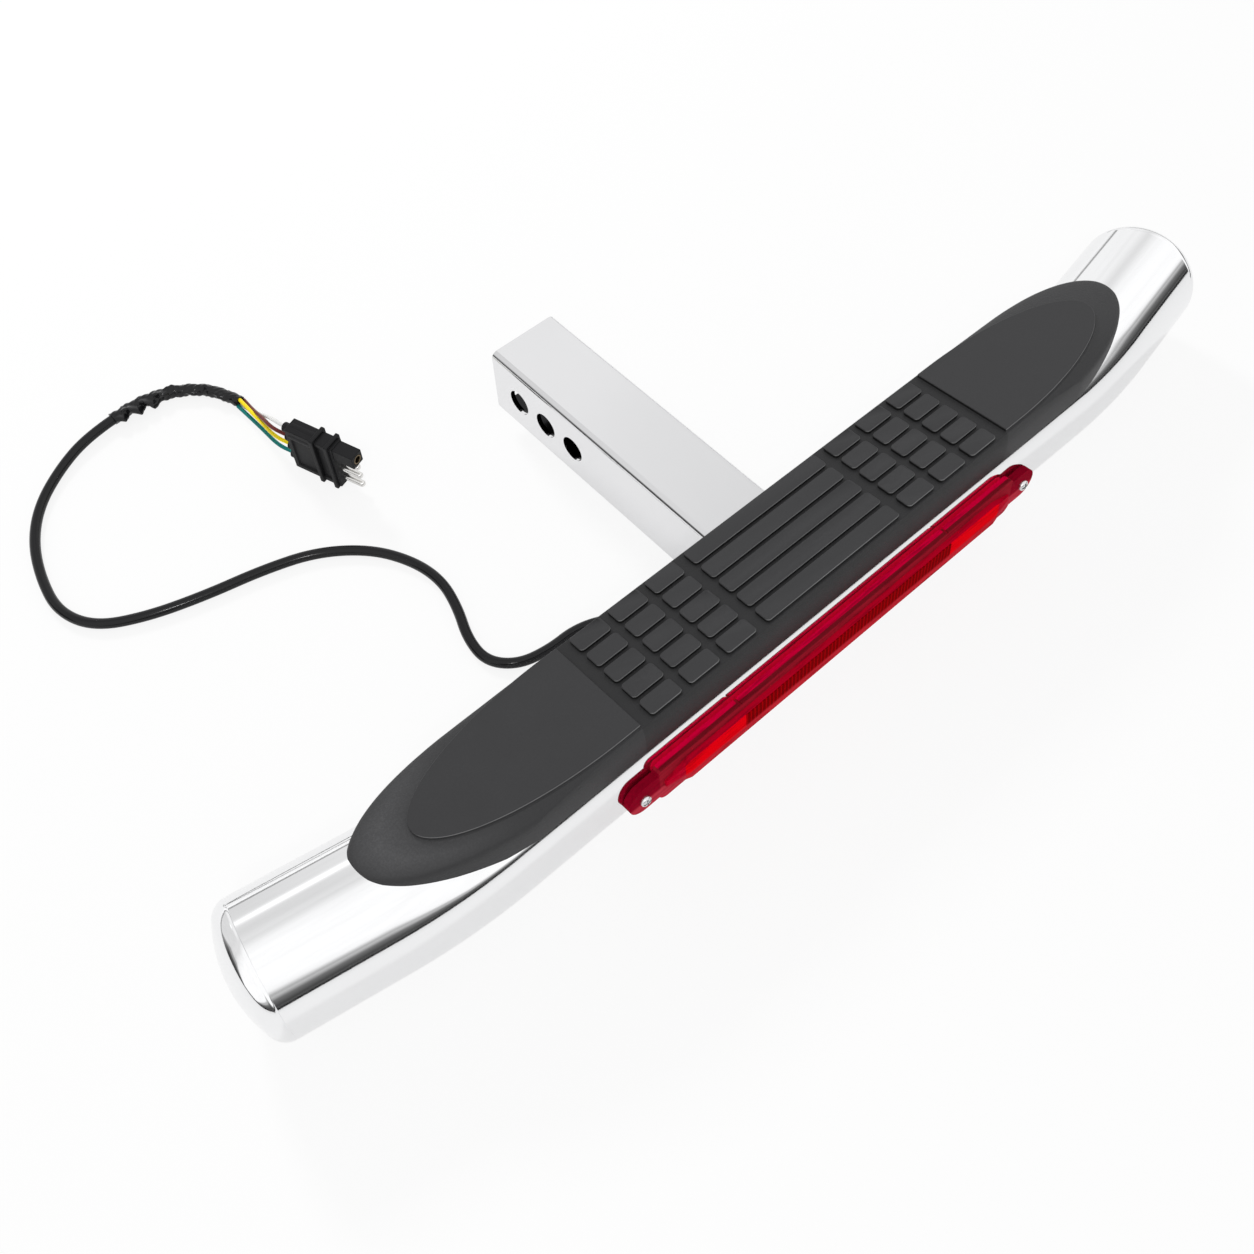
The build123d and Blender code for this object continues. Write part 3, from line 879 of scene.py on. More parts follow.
class Paintbox:
    """Finish of every material slot, each made once."""

    def __init__(self) -> None:
        """Sets out the finishes."""
        self.made: dict[str, bpy.types.Material] = {}
        self.finishes: dict[Slot, Any] = {
            Slot.TUBE: Steel(),
            # bore and rim bound the mill scale and painted shade inside the shank.
            Slot.SHANK: Steel(
                shade(0.84, 0.84, 0.85), 0.08, 0.04, (60.0, 3.0, 60.0), 0.012, bore=0.0233, rim=0.0488
            ),
            Slot.PAD: MouldedRubber(groove=0.0442),
            Slot.GROMMET: MouldedRubber(shade(0.02, 0.02, 0.02), shade(0.03, 0.03, 0.03), 0.45),
            Slot.LENS: RedLens(),
            # The backing glows faintly: painted light, though no lamp is lit in it.
            Slot.BACKING: Plastic(
                shade(0.95, 0.002, 0.055), shade(0.75, 0.002, 0.040), 0.5, gloss=0.1, glow=0.16
            ),
            Slot.BOARD: Plastic(shade(0.20, 0.03, 0.03), shade(0.12, 0.02, 0.02), 0.45),
            Slot.DIODE: Plastic(shade(0.85, 0.10, 0.08), shade(0.75, 0.06, 0.05), 0.15, 0.05),
            Slot.REFLECTOR: Plastic(shade(0.60, 0.02, 0.03), shade(0.45, 0.01, 0.02), 0.2),
            Slot.SCREW: Steel(shade(0.75, 0.75, 0.76), 0.16, 0.06, (20.0, 20.0, 20.0), 0.02),
            Slot.JACKET: Plastic(
                shade(0.005, 0.005, 0.006), shade(0.008, 0.008, 0.009), 0.13, 0.05, relief=0.02, gloss=0.28
            ),
            Slot.TAPE: Plastic(
                shade(0.005, 0.005, 0.006), shade(0.010, 0.010, 0.011), 0.14, 0.08, 160.0, 0.08, gloss=0.30
            ),
            Slot.PLUG: MouldedRubber(
                shade(0.010, 0.010, 0.011), shade(0.018, 0.018, 0.019), 0.42, 2400.0, 500.0, 0.0001, 0.16
            ),
            Slot.PIN: Steel(shade(0.80, 0.79, 0.77), 0.12, 0.05, (30.0, 30.0, 30.0), 0.01),
            Slot.SOCKET: Steel(shade(0.16, 0.12, 0.07), 0.30, 0.08, (30.0, 30.0, 30.0), 0.01),
            Slot.WHITE: Plastic(shade(0.80, 0.80, 0.79), shade(0.72, 0.72, 0.70), 0.3, 0.1),
            Slot.BROWN: Plastic(shade(0.15, 0.016, 0.012), shade(0.10, 0.012, 0.009), 0.3, 0.1, gloss=0.25),
            Slot.YELLOW: Plastic(shade(0.98, 0.80, 0.004), shade(0.92, 0.72, 0.004), 0.3, 0.1, gloss=0.25),
            Slot.GREEN: Plastic(shade(0.000, 0.21, 0.20), shade(0.000, 0.16, 0.16), 0.3, 0.1, gloss=0.25),
        }

    def material(self, slot: Slot) -> bpy.types.Material:
        """The material of a slot."""
        return self.take(slot.value, self.finishes[slot])

    def take(self, name: str, finish: Any) -> bpy.types.Material:
        """The material of a finish, made when it is first asked for.

        Args:
            name: The material's name.
            finish: What it is made from.

        Returns:
            The material.
        """
        if name not in self.made:
            self.made[name] = finish.material(name)
        return self.made[name]

    def dress(self, piece: bpy.types.Object, slot: Slot, *nodes: str) -> bpy.types.Object:
        """Paints a finished piece, puts it on the part and hides the nodes that it stands for.

        Args:
            piece: The piece, at the origin.
            slot: Its material slot.
            nodes: The nodes that it replaces.

        Returns:
            The piece.
        """
        piece.data.materials.clear()
        piece.data.materials.append(self.material(slot))
        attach(piece, "root")
        if nodes:
            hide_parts(*nodes)
        log.info("%s: %s", piece.name, slot.value)
        return piece

    def dress_node(self, node: str, slot: Slot, finish: Any = None) -> None:
        """Paints a node that stays as it is.

        Args:
            node: The node's name.
            slot: Its material slot.
            finish: Its own finish, if it isn't the slot's.
        """
        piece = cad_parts[node]
        material = self.material(slot) if finish is None else self.take(node, finish)
        piece.data.materials.clear()
        piece.data.materials.append(material)
        log.info("%s: %s, as packed", node, slot.value)


@dataclass
class Studio:
    """Camera, floor, light and the room that a mirror polish shows.

    The room's dark parts stand on the horizon; their tops are heights by bearing, in degrees from -Y to +X.
    """

    place: Point = (-0.33524, -0.43328, 0.60906)
    turn: Point = (32.131, 0.811, -41.940)
    lens: float = 37.148
    world_light: float = 0.66
    key_power: float = 24.0
    key_place: Point = (0.25, 1.85, 1.35)
    key_size: float = 0.4
    key_glow: float = 0.6
    key_focus: float = 260.0
    front_power: float = 2.4
    front_place: Point = (-0.70, -0.79, 1.11)
    front_size: float = 0.12
    room_white: float = 1.12
    floor_white: float = 0.86
    floor_mirrored: float = 0.46
    dark_foot: float = 0.03
    dark_tops: Stops = (
        (-145, 0.06), (-128, 0.60), (-108, 0.60), (-92, 0.06), (-70, 0.06), (-34, 0.40), (-18, 0.68),
        (-8, 0.48), (2, 0.21), (10, 0.13), (36, 0.12), (44, 0.26), (56, 0.48), (68, 0.36), (95, 0.06),
    )
    dark_fade: Stops = (
        (0.0, 0.010), (0.07, 0.10), (0.13, 0.05), (0.40, 0.16), (0.56, 0.52), (0.64, 0.40), (0.80, 0.94),
        (1.0, 1.0),
    )
    behind: Stops = ((0.0, 1.0), (0.15, 0.94), (0.36, 0.72), (0.56, 0.88), (0.80, 0.88))
    behind_west: float = 0.20
    far_horizon: float = 0.40
    streak_scale: Point = (9, 9, 1.5)
    floor_size: float = 12.0
    floor_gap: float = 0.0002

    def set_camera(self) -> None:
        """Puts the camera where the photograph was taken."""
        data = bpy.data.cameras.new("camera")
        data.sensor_width = 36.0
        data.lens = self.lens
        data.clip_start = 0.01
        camera = bpy.data.objects.new("camera", data)
        camera.location = self.place
        camera.rotation_euler = [math.radians(angle) for angle in self.turn]
        bpy.context.scene.collection.objects.link(camera)
        bpy.context.scene.camera = camera
        bpy.context.scene.view_settings.view_transform = "Standard"

    def lay_floor(self) -> None:
        """Lays a wide pale floor under the tube."""
        Bench.clear()
        bpy.ops.mesh.primitive_grid_add(size=self.floor_size, x_subdivisions=4, y_subdivisions=4)
        floor = Bench.named("floor")
        Bench.settle(floor, (0, 0, FLOOR_Z - self.floor_gap))
        paint = Paint("floor")
        mottle = paint.noise(paint.place(), 2.0, 2.0)
        colour = paint.blend(mottle, shade(0.93, 0.93, 0.93), shade(0.94, 0.94, 0.94))
        paper = paint.shader(Base_Color=colour, Roughness=0.9)
        white = paint.node("ShaderNodeEmission", inputs={"Color": shade(1, 1, 1), "Strength": 1.0})
        camera, glass, mirror = paint.rays()
        share = (self.floor_white * camera.most(glass)).most(self.floor_mirrored * mirror)
        bright = paint.node("ShaderNodeMixShader", inputs={0: share, 1: paper, 2: white})
        floor.data.materials.append(paint.surface(bright))

    def light_world(self) -> None:
        """White for the eye, a pale room with dark low parts for mirrors, a plain level for the rest."""
        world = bpy.data.worlds.new("studio")
        bpy.context.scene.world = world
        paint = Paint("studio", world)
        way = paint.node("ShaderNodeTexCoord", output="Generated")
        east, north, up = paint.parts(way)
        bearing = paint.node("ShaderNodeMath", {"operation": "ARCTAN2"}, {0: east, 1: 0.0 - north})
        round_about = bearing / math.tau + 0.5
        top = paint.ramp(round_about, *((0.5 + angle / 360.0, height) for angle, height in self.dark_tops))
        fade = paint.ramp((up - self.dark_foot) / (top - self.dark_foot), *self.dark_fade)
        drawn = paint.node("ShaderNodeMapping", inputs={"Vector": way, "Scale": self.streak_scale})
        streaks = paint.noise(drawn, 1.0, 2.0)
        fade = fade + (1.0 - fade) * paint.ramp(north, (0.55, 0.0), (0.80, self.far_horizon))
        behind = paint.ramp(north, *self.behind)
        west = paint.ramp(east, (0.10, self.behind_west), (0.32, 0.0))
        west = west * paint.ramp(north, (0.40, 0.0), (0.55, 1.0))
        behind = behind * (1.0 - west)
        key_way = Vector(self.key_place).normalized()
        dot = {"operation": "DOT_PRODUCT"}
        toward = paint.node("ShaderNodeVectorMath", dot, {0: way, 1: key_way}, "Value")
        power = {"operation": "POWER"}
        glow = self.key_glow * paint.node("ShaderNodeMath", power, {0: toward.most(0.0), 1: self.key_focus})
        room = self.room_white * fade * behind * paint.ramp(streaks, (0.35, 0.95), (0.6, 1.0)) + glow
        camera, glass, mirror = paint.rays()
        seen = camera.most(glass)
        plain = mirror * room + (1.0 - mirror) * self.world_light
        level = seen + (1.0 - seen) * plain
        paint.surface(
            paint.node("ShaderNodeBackground", inputs={"Color": shade(1, 1, 1), "Strength": level})
        )

    def add_lamp(self, name: str, place: Point, size: float, power: float, mirrored: bool) -> None:
        """Hangs a soft lamp that looks at the part.

        Args:
            name: The lamp's name.
            place: Where it hangs.
            size: The side of its square face.
            power: Its power in watts.
            mirrored: Whether glossy surfaces show it.
        """
        data = bpy.data.lights.new(name, "AREA")
        data.size = size
        data.energy = power
        lamp = bpy.data.objects.new(name, data)
        lamp.location = place
        aim = Vector((0, -0.1, 0)) - Vector(place)
        lamp.rotation_euler = aim.to_track_quat("-Z", "Y").to_euler()
        lamp.visible_glossy = mirrored
        bpy.context.scene.collection.objects.link(lamp)

    def build(self) -> None:
        """Sets up the whole studio."""
        self.set_camera()
        self.lay_floor()
        self.light_world()
        self.add_lamp("key_lamp", self.key_place, self.key_size, self.key_power, False)
        self.add_lamp("front_lamp", self.front_place, self.front_size, self.front_power, True)
        log.info("studio is ready")


@dataclass
class StepBar:
    """Bent step tube and the pressed domes that close it."""

    straight: float = 0.220
    bend_radius: float = 0.350
    bend_angle: float = math.radians(10.5)
    end_length: float = 0.061
    wall: float = 0.0016
    cap_depth: float = 0.01695
    cap_knuckle: float = 0.011
    seam: float = 0.0004
    sides: int = 160

    def end(self) -> tuple[Vector, Vector]:
        """Middle of the right end and the way that it points.

        Returns:
            The middle and the way.
        """
        along = Vector((math.cos(self.bend_angle), math.sin(self.bend_angle), 0))
        bend = Vector(
            (
                self.straight + self.bend_radius * math.sin(self.bend_angle),
                TUBE_Y + self.bend_radius * (1 - math.cos(self.bend_angle)),
                0,
            )
        )
        return bend + along * self.end_length, along

    def build_tube(self) -> bpy.types.Object:
        """Draws out a ring along the right half and mirrors it.

        Returns:
            The tube.
        """
        Bench.clear()
        bpy.ops.mesh.primitive_circle_add(
            vertices=self.sides,
            radius=TUBE_RADIUS,
            fill_type="NOTHING",
            location=(0, TUBE_Y, 0),
            rotation=(0, math.radians(90), 0),
        )
        tube = Bench.named("step_tube_skin")
        bpy.ops.object.transform_apply(location=True, rotation=True, scale=True)
        Bench.edit(tube)
        bpy.ops.mesh.select_all(action="SELECT")
        bpy.ops.mesh.extrude_edges_move(TRANSFORM_OT_translate={"value": (self.straight, 0, 0)})
        bpy.ops.mesh.spin(
            steps=24,
            angle=self.bend_angle,
            center=(self.straight, TUBE_Y + self.bend_radius, 0),
            axis=(0, 0, -1),
        )
        run = self.end()[1] * (self.end_length - self.seam)
        bpy.ops.mesh.extrude_edges_move(TRANSFORM_OT_translate={"value": run})
        lip = self.end()[1] * self.seam
        bpy.ops.mesh.extrude_edges_move(TRANSFORM_OT_translate={"value": lip})
        less = 1 - self.seam / TUBE_RADIUS
        bpy.ops.transform.resize(value=(less, less, less), center_override=self.end()[0])
        Bench.clear()
        Bench.modify(tube, "MIRROR", use_axis=(True, False, False), use_mirror_merge=True)
        Bench.merge(tube)
        Bench.modify(tube, "SOLIDIFY", thickness=self.wall, offset=-1.0)
        Bench.smooth(tube, 40.0)
        return tube

    def build_cap(self, side: int) -> bpy.types.Object:
        """Turns one dome and sets it on an end of the tube.

        Args:
            side: 1 for the right end, -1 for the left end.

        Returns:
            The cap.
        """
        knuckle, depth = self.cap_knuckle, self.cap_depth
        reach = TUBE_RADIUS - knuckle
        crown = (TUBE_RADIUS**2 - 2 * TUBE_RADIUS * knuckle + depth**2) / (2 * (depth - knuckle))
        turn = math.atan2(crown - depth, reach)
        profile = [(TUBE_RADIUS - 5 * self.wall, 0.0), (TUBE_RADIUS - self.seam, 0.0)]
        steps = 14
        for i in range(1, steps + 1):
            angle = turn * i / steps
            profile.append((reach + knuckle * math.cos(angle), knuckle * math.sin(angle)))
        for i in range(1, steps + 1):
            angle = turn + (math.pi / 2 - turn) * i / steps
            profile.append((crown * math.cos(angle), depth - crown + crown * math.sin(angle)))
        cap = Bench.lathe("end_cap_skin", profile, self.sides)
        middle, along = self.end()
        middle.x *= side
        along.x *= side
        Bench.settle(cap, tuple(middle), tuple(along.to_track_quat("Z", "Y").to_euler()))
        Bench.smooth(cap, 60.0)
        return cap

    def build(self, box: Paintbox) -> None:
        """Builds and paints the tube and its caps.

        Args:
            box: The finishes.
        """
        box.dress(self.build_tube(), Slot.TUBE, "step_tube")
        for side, name in ((1, "right"), (-1, "left")):
            cap = self.build_cap(side)
            cap.name = f"end_cap_{name}_skin"
            box.dress(cap, Slot.TUBE, f"end_cap_{name}")


@dataclass
class ReceiverShank:
    """Square tube with pin holes, coped to the step tube."""

    width: float = 0.050
    wall: float = 0.0032
    corner: float = 0.0045
    open_end: float = 0.0494
    near_end: float = TUBE_Y + 0.024
    hole_radius: float = 0.0085
    holes: tuple[float, ...] = (0.0254, 0.0, -0.0254)
    blind_wall: float = 0.003
    cope_gap: float = 0.00005
    tool_reach: float = 0.06
    edge_round: float = 0.0003

    def build_shank(self) -> bpy.types.Object:
        """Hollows a rounded bar, then cuts its holes and the cope.

        Returns:
            The shank.
        """
        length = self.open_end - self.near_end
        size = (self.width, self.width, length)
        shank = Bench.block("receiver_shank_skin", size, (0, 0, 0), self.corner, 8)
        Bench.settle(shank, (0, 0, 0), (math.radians(-90), 0, 0))
        Bench.settle(shank, (0, (self.open_end + self.near_end) / 2, 0))
        Bench.edit(shank)
        Bench.choose(shank, Element.FACE, lambda face: face.normal.y > 0.9)
        bpy.ops.mesh.inset(thickness=self.wall)
        inward = (0, self.blind_wall - length, 0)
        bpy.ops.mesh.extrude_region_move(TRANSFORM_OT_translate={"value": inward})
        Bench.clear()
        reach = self.tool_reach
        for place in self.holes:
            drill = Bench.rod("drill", self.hole_radius, (-reach, place, 0), (reach, place, 0), 64)
            Bench.combine(shank, drill, Cut.CARVE)
        radius = TUBE_RADIUS + self.cope_gap
        cope = Bench.rod("cope", radius, (-reach, TUBE_Y, 0), (reach, TUBE_Y, 0), 160)
        Bench.combine(shank, cope, Cut.CARVE)
        Bench.soften(shank, self.edge_round, 2, 50.0)
        return shank

    def build(self, box: Paintbox) -> None:
        """Builds and paints the shank, and paints its weld."""
        box.dress(self.build_shank(), Slot.SHANK, "receiver_shank")
        box.dress_node("shank_weld", Slot.SHANK, WeldSteel())


@dataclass
class TreadPad:
    """Moulded pad with raised ends and a field of tread blocks."""

    straight: float = 0.150
    end_reach: float = 0.106
    half_width: float = 0.0335
    top: float = 0.0464
    tread: float = 0.0022
    field_half: float = 0.138
    ledge: float = 0.0010
    outline: int = 176
    rows: int = 5
    row_pitch: float = 0.0134
    block_depth: float = 0.0108
    block_length: float = 0.0209
    block_pitch: float = 0.0261
    block_outer: float = 0.131
    bar_length: float = 0.101
    block_corner: float = 0.0022
    block_sunk: float = 0.0006
    worn_width: float = 0.0005
    worn_depth: float = 0.00002
    shell_round: float = 0.0008
    block_round: float = 0.0006

    def rings(self) -> list[tuple[float, float, float, float, float]]:
        """Rings down the side of the pad.

        Returns:
            Straight half, end reach, half width, turn of the ends and height of each ring.
        """
        return [
            (0.1505, 0.1065, 0.03365, 0.05, 0.0438),
            (0.1650, 0.1015, 0.0341, 1.6, 0.0425),
            (0.1825, 0.0945, 0.0346, 3.6, 0.0408),
            (0.1920, 0.0905, 0.0349, 4.7, 0.0397),
            (0.1960, 0.0890, 0.0350, 5.1, 0.0389),
            (0.1985, 0.0880, 0.0352, 5.4, 0.0379),
            (0.1997, 0.0879, 0.0353, 5.5, 0.0364),
            (0.2000, 0.0880, 0.0354, 5.5, 0.0335),
            (0.2000, 0.0879, 0.0352, 5.5, 0.0280),
            (0.2000, 0.0874, 0.0347, 5.5, 0.0220),
            (0.2000, 0.0870, 0.0343, 5.5, 0.0214),
            (0.1980, 0.0830, 0.0317, 5.5, 0.0213),
        ]

    def build_shell(self) -> bpy.types.Object:
        """Draws the field's level out into the sides and raises the two ends.

        Returns:
            The pad.
        """
        Bench.clear()
        level = self.top - self.tread
        bpy.ops.mesh.primitive_circle_add(vertices=self.outline, radius=1.0, fill_type="NGON")
        pad = Bench.named("tread_pad_skin")
        pad.scale = (self.end_reach, self.half_width, 1.0)
        Bench.settle(pad, (0, 0, level))
        Bench.edit(pad)
        for side in (-1, 1):
            Bench.choose(pad, Element.VERT, lambda vert: vert.co.x * side > 1e-6)
            bpy.ops.transform.translate(value=(side * self.straight, 0, 0))
        for side in (-1, 1):
            bpy.ops.mesh.select_all(action="SELECT")
            bpy.ops.mesh.bisect(plane_co=(side * self.field_half, 0, 0), plane_no=(1, 0, 0))
        now = (self.straight, self.end_reach, self.half_width, 0.0, level)
        for ring in self.rings():
            Bench.choose(pad, Element.EDGE, lambda edge: edge.is_boundary)
            bpy.ops.mesh.extrude_edges_move(TRANSFORM_OT_translate={"value": (0, 0, ring[4] - now[4])})
            self.shape_ring(pad, now, ring)
            now = ring
        Bench.choose(
            pad,
            Element.FACE,
            lambda face: abs(face.calc_center_median().x) > self.field_half and face.normal.z > 0.999
            and abs(face.calc_center_median().z - level) < 1e-5,
        )
        bpy.ops.mesh.inset(thickness=self.ledge)
        bpy.ops.mesh.extrude_region_move(TRANSFORM_OT_translate={"value": (0, 0, self.tread)})
        Bench.clear()
        return pad

    def shape_ring(self, pad: bpy.types.Object, before: Sequence[float], after: Sequence[float]) -> None:
        """Brings the pad's open rim from one ring's shape to the next one's.

        Args:
            pad: The pad, in edit mode.
            before: The ring that the rim still has the shape of.
            after: The ring at whose height it already is.
        """
        near = before[0] - 0.006
        height = after[4]
        wide_before = before[2] * math.cos(math.radians(before[3]))
        wide_after = after[2] * math.cos(math.radians(after[3]))
        narrow = wide_after / wide_before

        def on_rim(vert: bmesh.types.BMVert) -> bool:
            """Whether a vertex lies on the open rim."""
            return vert.is_boundary and abs(vert.co.z - height) < 1e-6

        Bench.choose(pad, Element.VERT, lambda vert: on_rim(vert) and abs(vert.co.x) < near)
        bpy.ops.transform.resize(value=(1, narrow, 1), center_override=(0, 0, height))
        for side in (-1, 1):
            Bench.choose(pad, Element.VERT, lambda vert: on_rim(vert) and vert.co.x * side > near)
            pivot = (side * before[0], 0, height)
            turn = side * math.radians(before[3])
            bpy.ops.transform.rotate(value=turn, orient_axis="Z", center_override=pivot)
            grow = (after[1] / before[1], after[2] / before[2], 1)
            bpy.ops.transform.resize(value=grow, center_override=pivot)
            bpy.ops.transform.translate(value=(side * (after[0] - before[0]), 0, 0))
            pivot = (side * after[0], 0, height)
            turn = -side * math.radians(after[3])
            bpy.ops.transform.rotate(value=turn, orient_axis="Z", center_override=pivot)

    def build_block(self, name: str, length: float) -> bpy.types.Object:
        """One tread block with rounded corners and a worn top edge.

        Args:
            name: The block's name.
            length: How long it is.

        Returns:
            The block.
        """
        height = self.tread + self.block_sunk
        size = (length, self.block_depth, height)
        block = Bench.block(name, size, (0, 0, self.top - height / 2), self.block_corner, 4)
        Bench.edit(block)
        Bench.choose(block, Element.FACE, lambda face: face.normal.z > 0.9)
        bpy.ops.mesh.inset(thickness=self.worn_width)
        bpy.ops.transform.translate(value=(0, 0, -self.worn_depth))
        Bench.clear()
        return block

    def build_blocks(self) -> list[bpy.types.Object]:
        """Copies one block and one bar over the field.

        Returns:
            The copies.
        """
        block = self.build_block("tread_block", self.block_length)
        bar = self.build_block("tread_bar", self.bar_length)
        first = self.block_outer - self.block_length / 2
        columns = [first - i * self.block_pitch for i in range(3)]
        made = []
        for row in range(self.rows):
            place = (row - (self.rows - 1) / 2) * self.row_pitch
            made.append(Bench.copy(bar, (0, place, 0)))
            for column in columns:
                made.append(Bench.copy(block, (column, place, 0)))
                made.append(Bench.copy(block, (-column, place, 0)))
        Bench.discard(block, bar)
        return made

    def build(self, box: Paintbox) -> None:
        """Builds the pad, rolls it round the tube and paints it.

        Args:
            box: The finishes.
        """
        pad = self.build_shell()
        Bench.soften(pad, self.shell_round, 3, 40.0)
        blocks = Bench.join("tread_blocks", self.build_blocks())
        Bench.soften(blocks, self.block_round, 3, 40.0)
        for piece in (pad, blocks):
            Bench.settle(piece, (0, TUBE_Y, 0), (-BAR_ROLL, 0, 0))
            box.dress(piece, Slot.PAD)
        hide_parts("tread_pad")


@dataclass
class LightBar:
    """Red light bar on the rear face: clear cover, screws and what shows inside."""

    back: float = 0.0384
    length: float = 0.282
    height: float = 0.028
    corner: float = 0.006
    ear_half: float = 0.1505
    ear_height: float = 0.020
    flange: float = 0.005
    bulge_margin: float = 0.004
    bulge_height: float = 0.017
    bulge_depth: float = 0.00399
    bulge_narrow: float = 0.92
    bulge_overlap: float = 0.001
    point: float = 0.016
    wall: float = 0.0018
    notch_place: float = 0.0815
    notch_size: Point = (0.002, 0.0024, 0.02)
    screw_hole: float = 0.00225
    edge_round: float = 0.00045
    screw_head: float = 0.0034
    head_height: float = 0.0028

    def set_on_tube(self, piece: bpy.types.Object) -> bpy.types.Object:
        """Turns a piece from the bench, front up, to the rear face of the tube."""
        return Bench.settle(piece, (0, TUBE_Y, 0), (math.radians(90) - BAR_ROLL, 0, 0))

    def build_lens(self) -> bpy.types.Object:
        """Unites flange, ears and bulge, and hollows them from behind.

        Returns:
            The cover.
        """
        front = self.back + self.flange
        middle = (0, 0, self.back + self.flange / 2)
        size = (self.length, self.height, self.flange)
        lens = Bench.block("lamp_lens_skin", size, middle, self.corner, 6)
        size = (2 * self.ear_half + self.ear_height, self.ear_height, self.flange)
        ears = Bench.block("ears", size, middle, 0.499 * self.ear_height, 14)
        Bench.combine(lens, ears, Cut.UNITE)
        long = self.length - 2 * self.bulge_margin
        deep = self.bulge_depth + self.bulge_overlap
        place = (0, 0, front - self.bulge_overlap + deep / 2)
        bulge = Bench.block("bulge", (long, self.bulge_height, deep), place, narrow=self.bulge_narrow)
        self.point_ends(bulge, long / 2)
        Bench.combine(lens, bulge, Cut.UNITE)
        inner = 2 * self.wall
        chamber = Bench.block(
            "chamber",
            (self.length - inner, self.height - inner, self.flange),
            (0, 0, front - self.wall - self.flange / 2),
            self.corner - self.wall,
        )
        Bench.combine(lens, chamber, Cut.CARVE)
        hollow = Bench.block(
            "hollow",
            (long - 2 * self.point - inner, self.bulge_height - inner, self.bulge_depth + self.wall),
            (0, 0, front - self.wall + self.bulge_depth - (self.bulge_depth + self.wall) / 2),
            self.corner - self.wall,
        )
        Bench.combine(lens, hollow, Cut.CARVE)
        for side in (-1, 1):
            spot = side * self.ear_half
            low, high = (spot, 0, self.back - 0.01), (spot, 0, front + 0.01)
            drill = Bench.rod("drill", self.screw_hole, low, high, 32)
            Bench.combine(lens, drill, Cut.CARVE)
            for edge in (-1, 1):
                place = (side * self.notch_place, edge * self.height / 2, front)
                notch = Bench.block("notch", self.notch_size, place)
                Bench.combine(lens, notch, Cut.CARVE)
        Bench.soften(lens, self.edge_round, 2, 40.0)
        return self.set_on_tube(lens)

    def point_ends(self, bulge: bpy.types.Object, half: float) -> None:
        """Draws the two ends of the bulge to a blunt point that slopes down to the plate.

        Args:
            bulge: The plain bulge on the bench.
            half: Half its length.
        """
        Bench.edit(bulge)
        for side in (-1, 1):
            bpy.ops.mesh.select_all(action="SELECT")
            bpy.ops.mesh.bisect(plane_co=(side * (half - self.point), 0, 0), plane_no=(1, 0, 0))
        for side in (-1, 1):
            Bench.choose(bulge, Element.VERT, lambda vert: vert.co.x * side > half - 0.6 * self.point)
            pivot = (side * half, 0, self.back + self.flange - 0.0005)
            bpy.ops.transform.resize(value=(1, 0.34, 0.45), center_override=pivot)
        Bench.clear()

    def build_screws(self) -> bpy.types.Object:
        """Turns one pan head with a cross slot and copies it to both ears.

        Returns:
            The screws.
        """
        seat = self.back + self.flange
        head, high = self.screw_head, self.head_height
        profile = [(0.0, -0.014), (0.0012, -0.014), (0.0021, -0.012), (0.0021, 0.0), (head, 0.0)]
        crown = ((1.0, 0.45), (0.93, 0.72), (0.76, 0.90), (0.45, 1.0), (0.0, 1.0))
        profile += [(out * head, up * high) for out, up in crown]
        screw = Bench.settle(Bench.lathe("screw", profile, 40), (0, 0, seat))
        for size in ((0.0052, 0.0011, 0.0036), (0.0011, 0.0052, 0.0036)):
            slot = Bench.block("slot", size, (0, 0, seat + high))
            Bench.combine(screw, slot, Cut.CARVE)
        sides = [Bench.copy(screw, (side * self.ear_half, 0, 0)) for side in (-1, 1)]
        Bench.discard(screw)
        screws = Bench.join("lamp_screws_skin", sides)
        Bench.smooth(screws, 40.0)
        return self.set_on_tube(screws)

    def build(self, box: Paintbox) -> None:
        """Builds the cover and screws, and paints what shows through.

        Args:
            box: The finishes.
        """
        box.dress(self.build_lens(), Slot.LENS, "lamp_lens")
        box.dress(self.build_screws(), Slot.SCREW, "lamp_screws")
        for node, slot in (
            ("lamp_base", Slot.BACKING),
            ("lamp_board", Slot.BOARD),
            ("lamp_leds", Slot.DIODE),
            ("lamp_reflector", Slot.REFLECTOR),
        ):
            box.dress_node(node, slot)


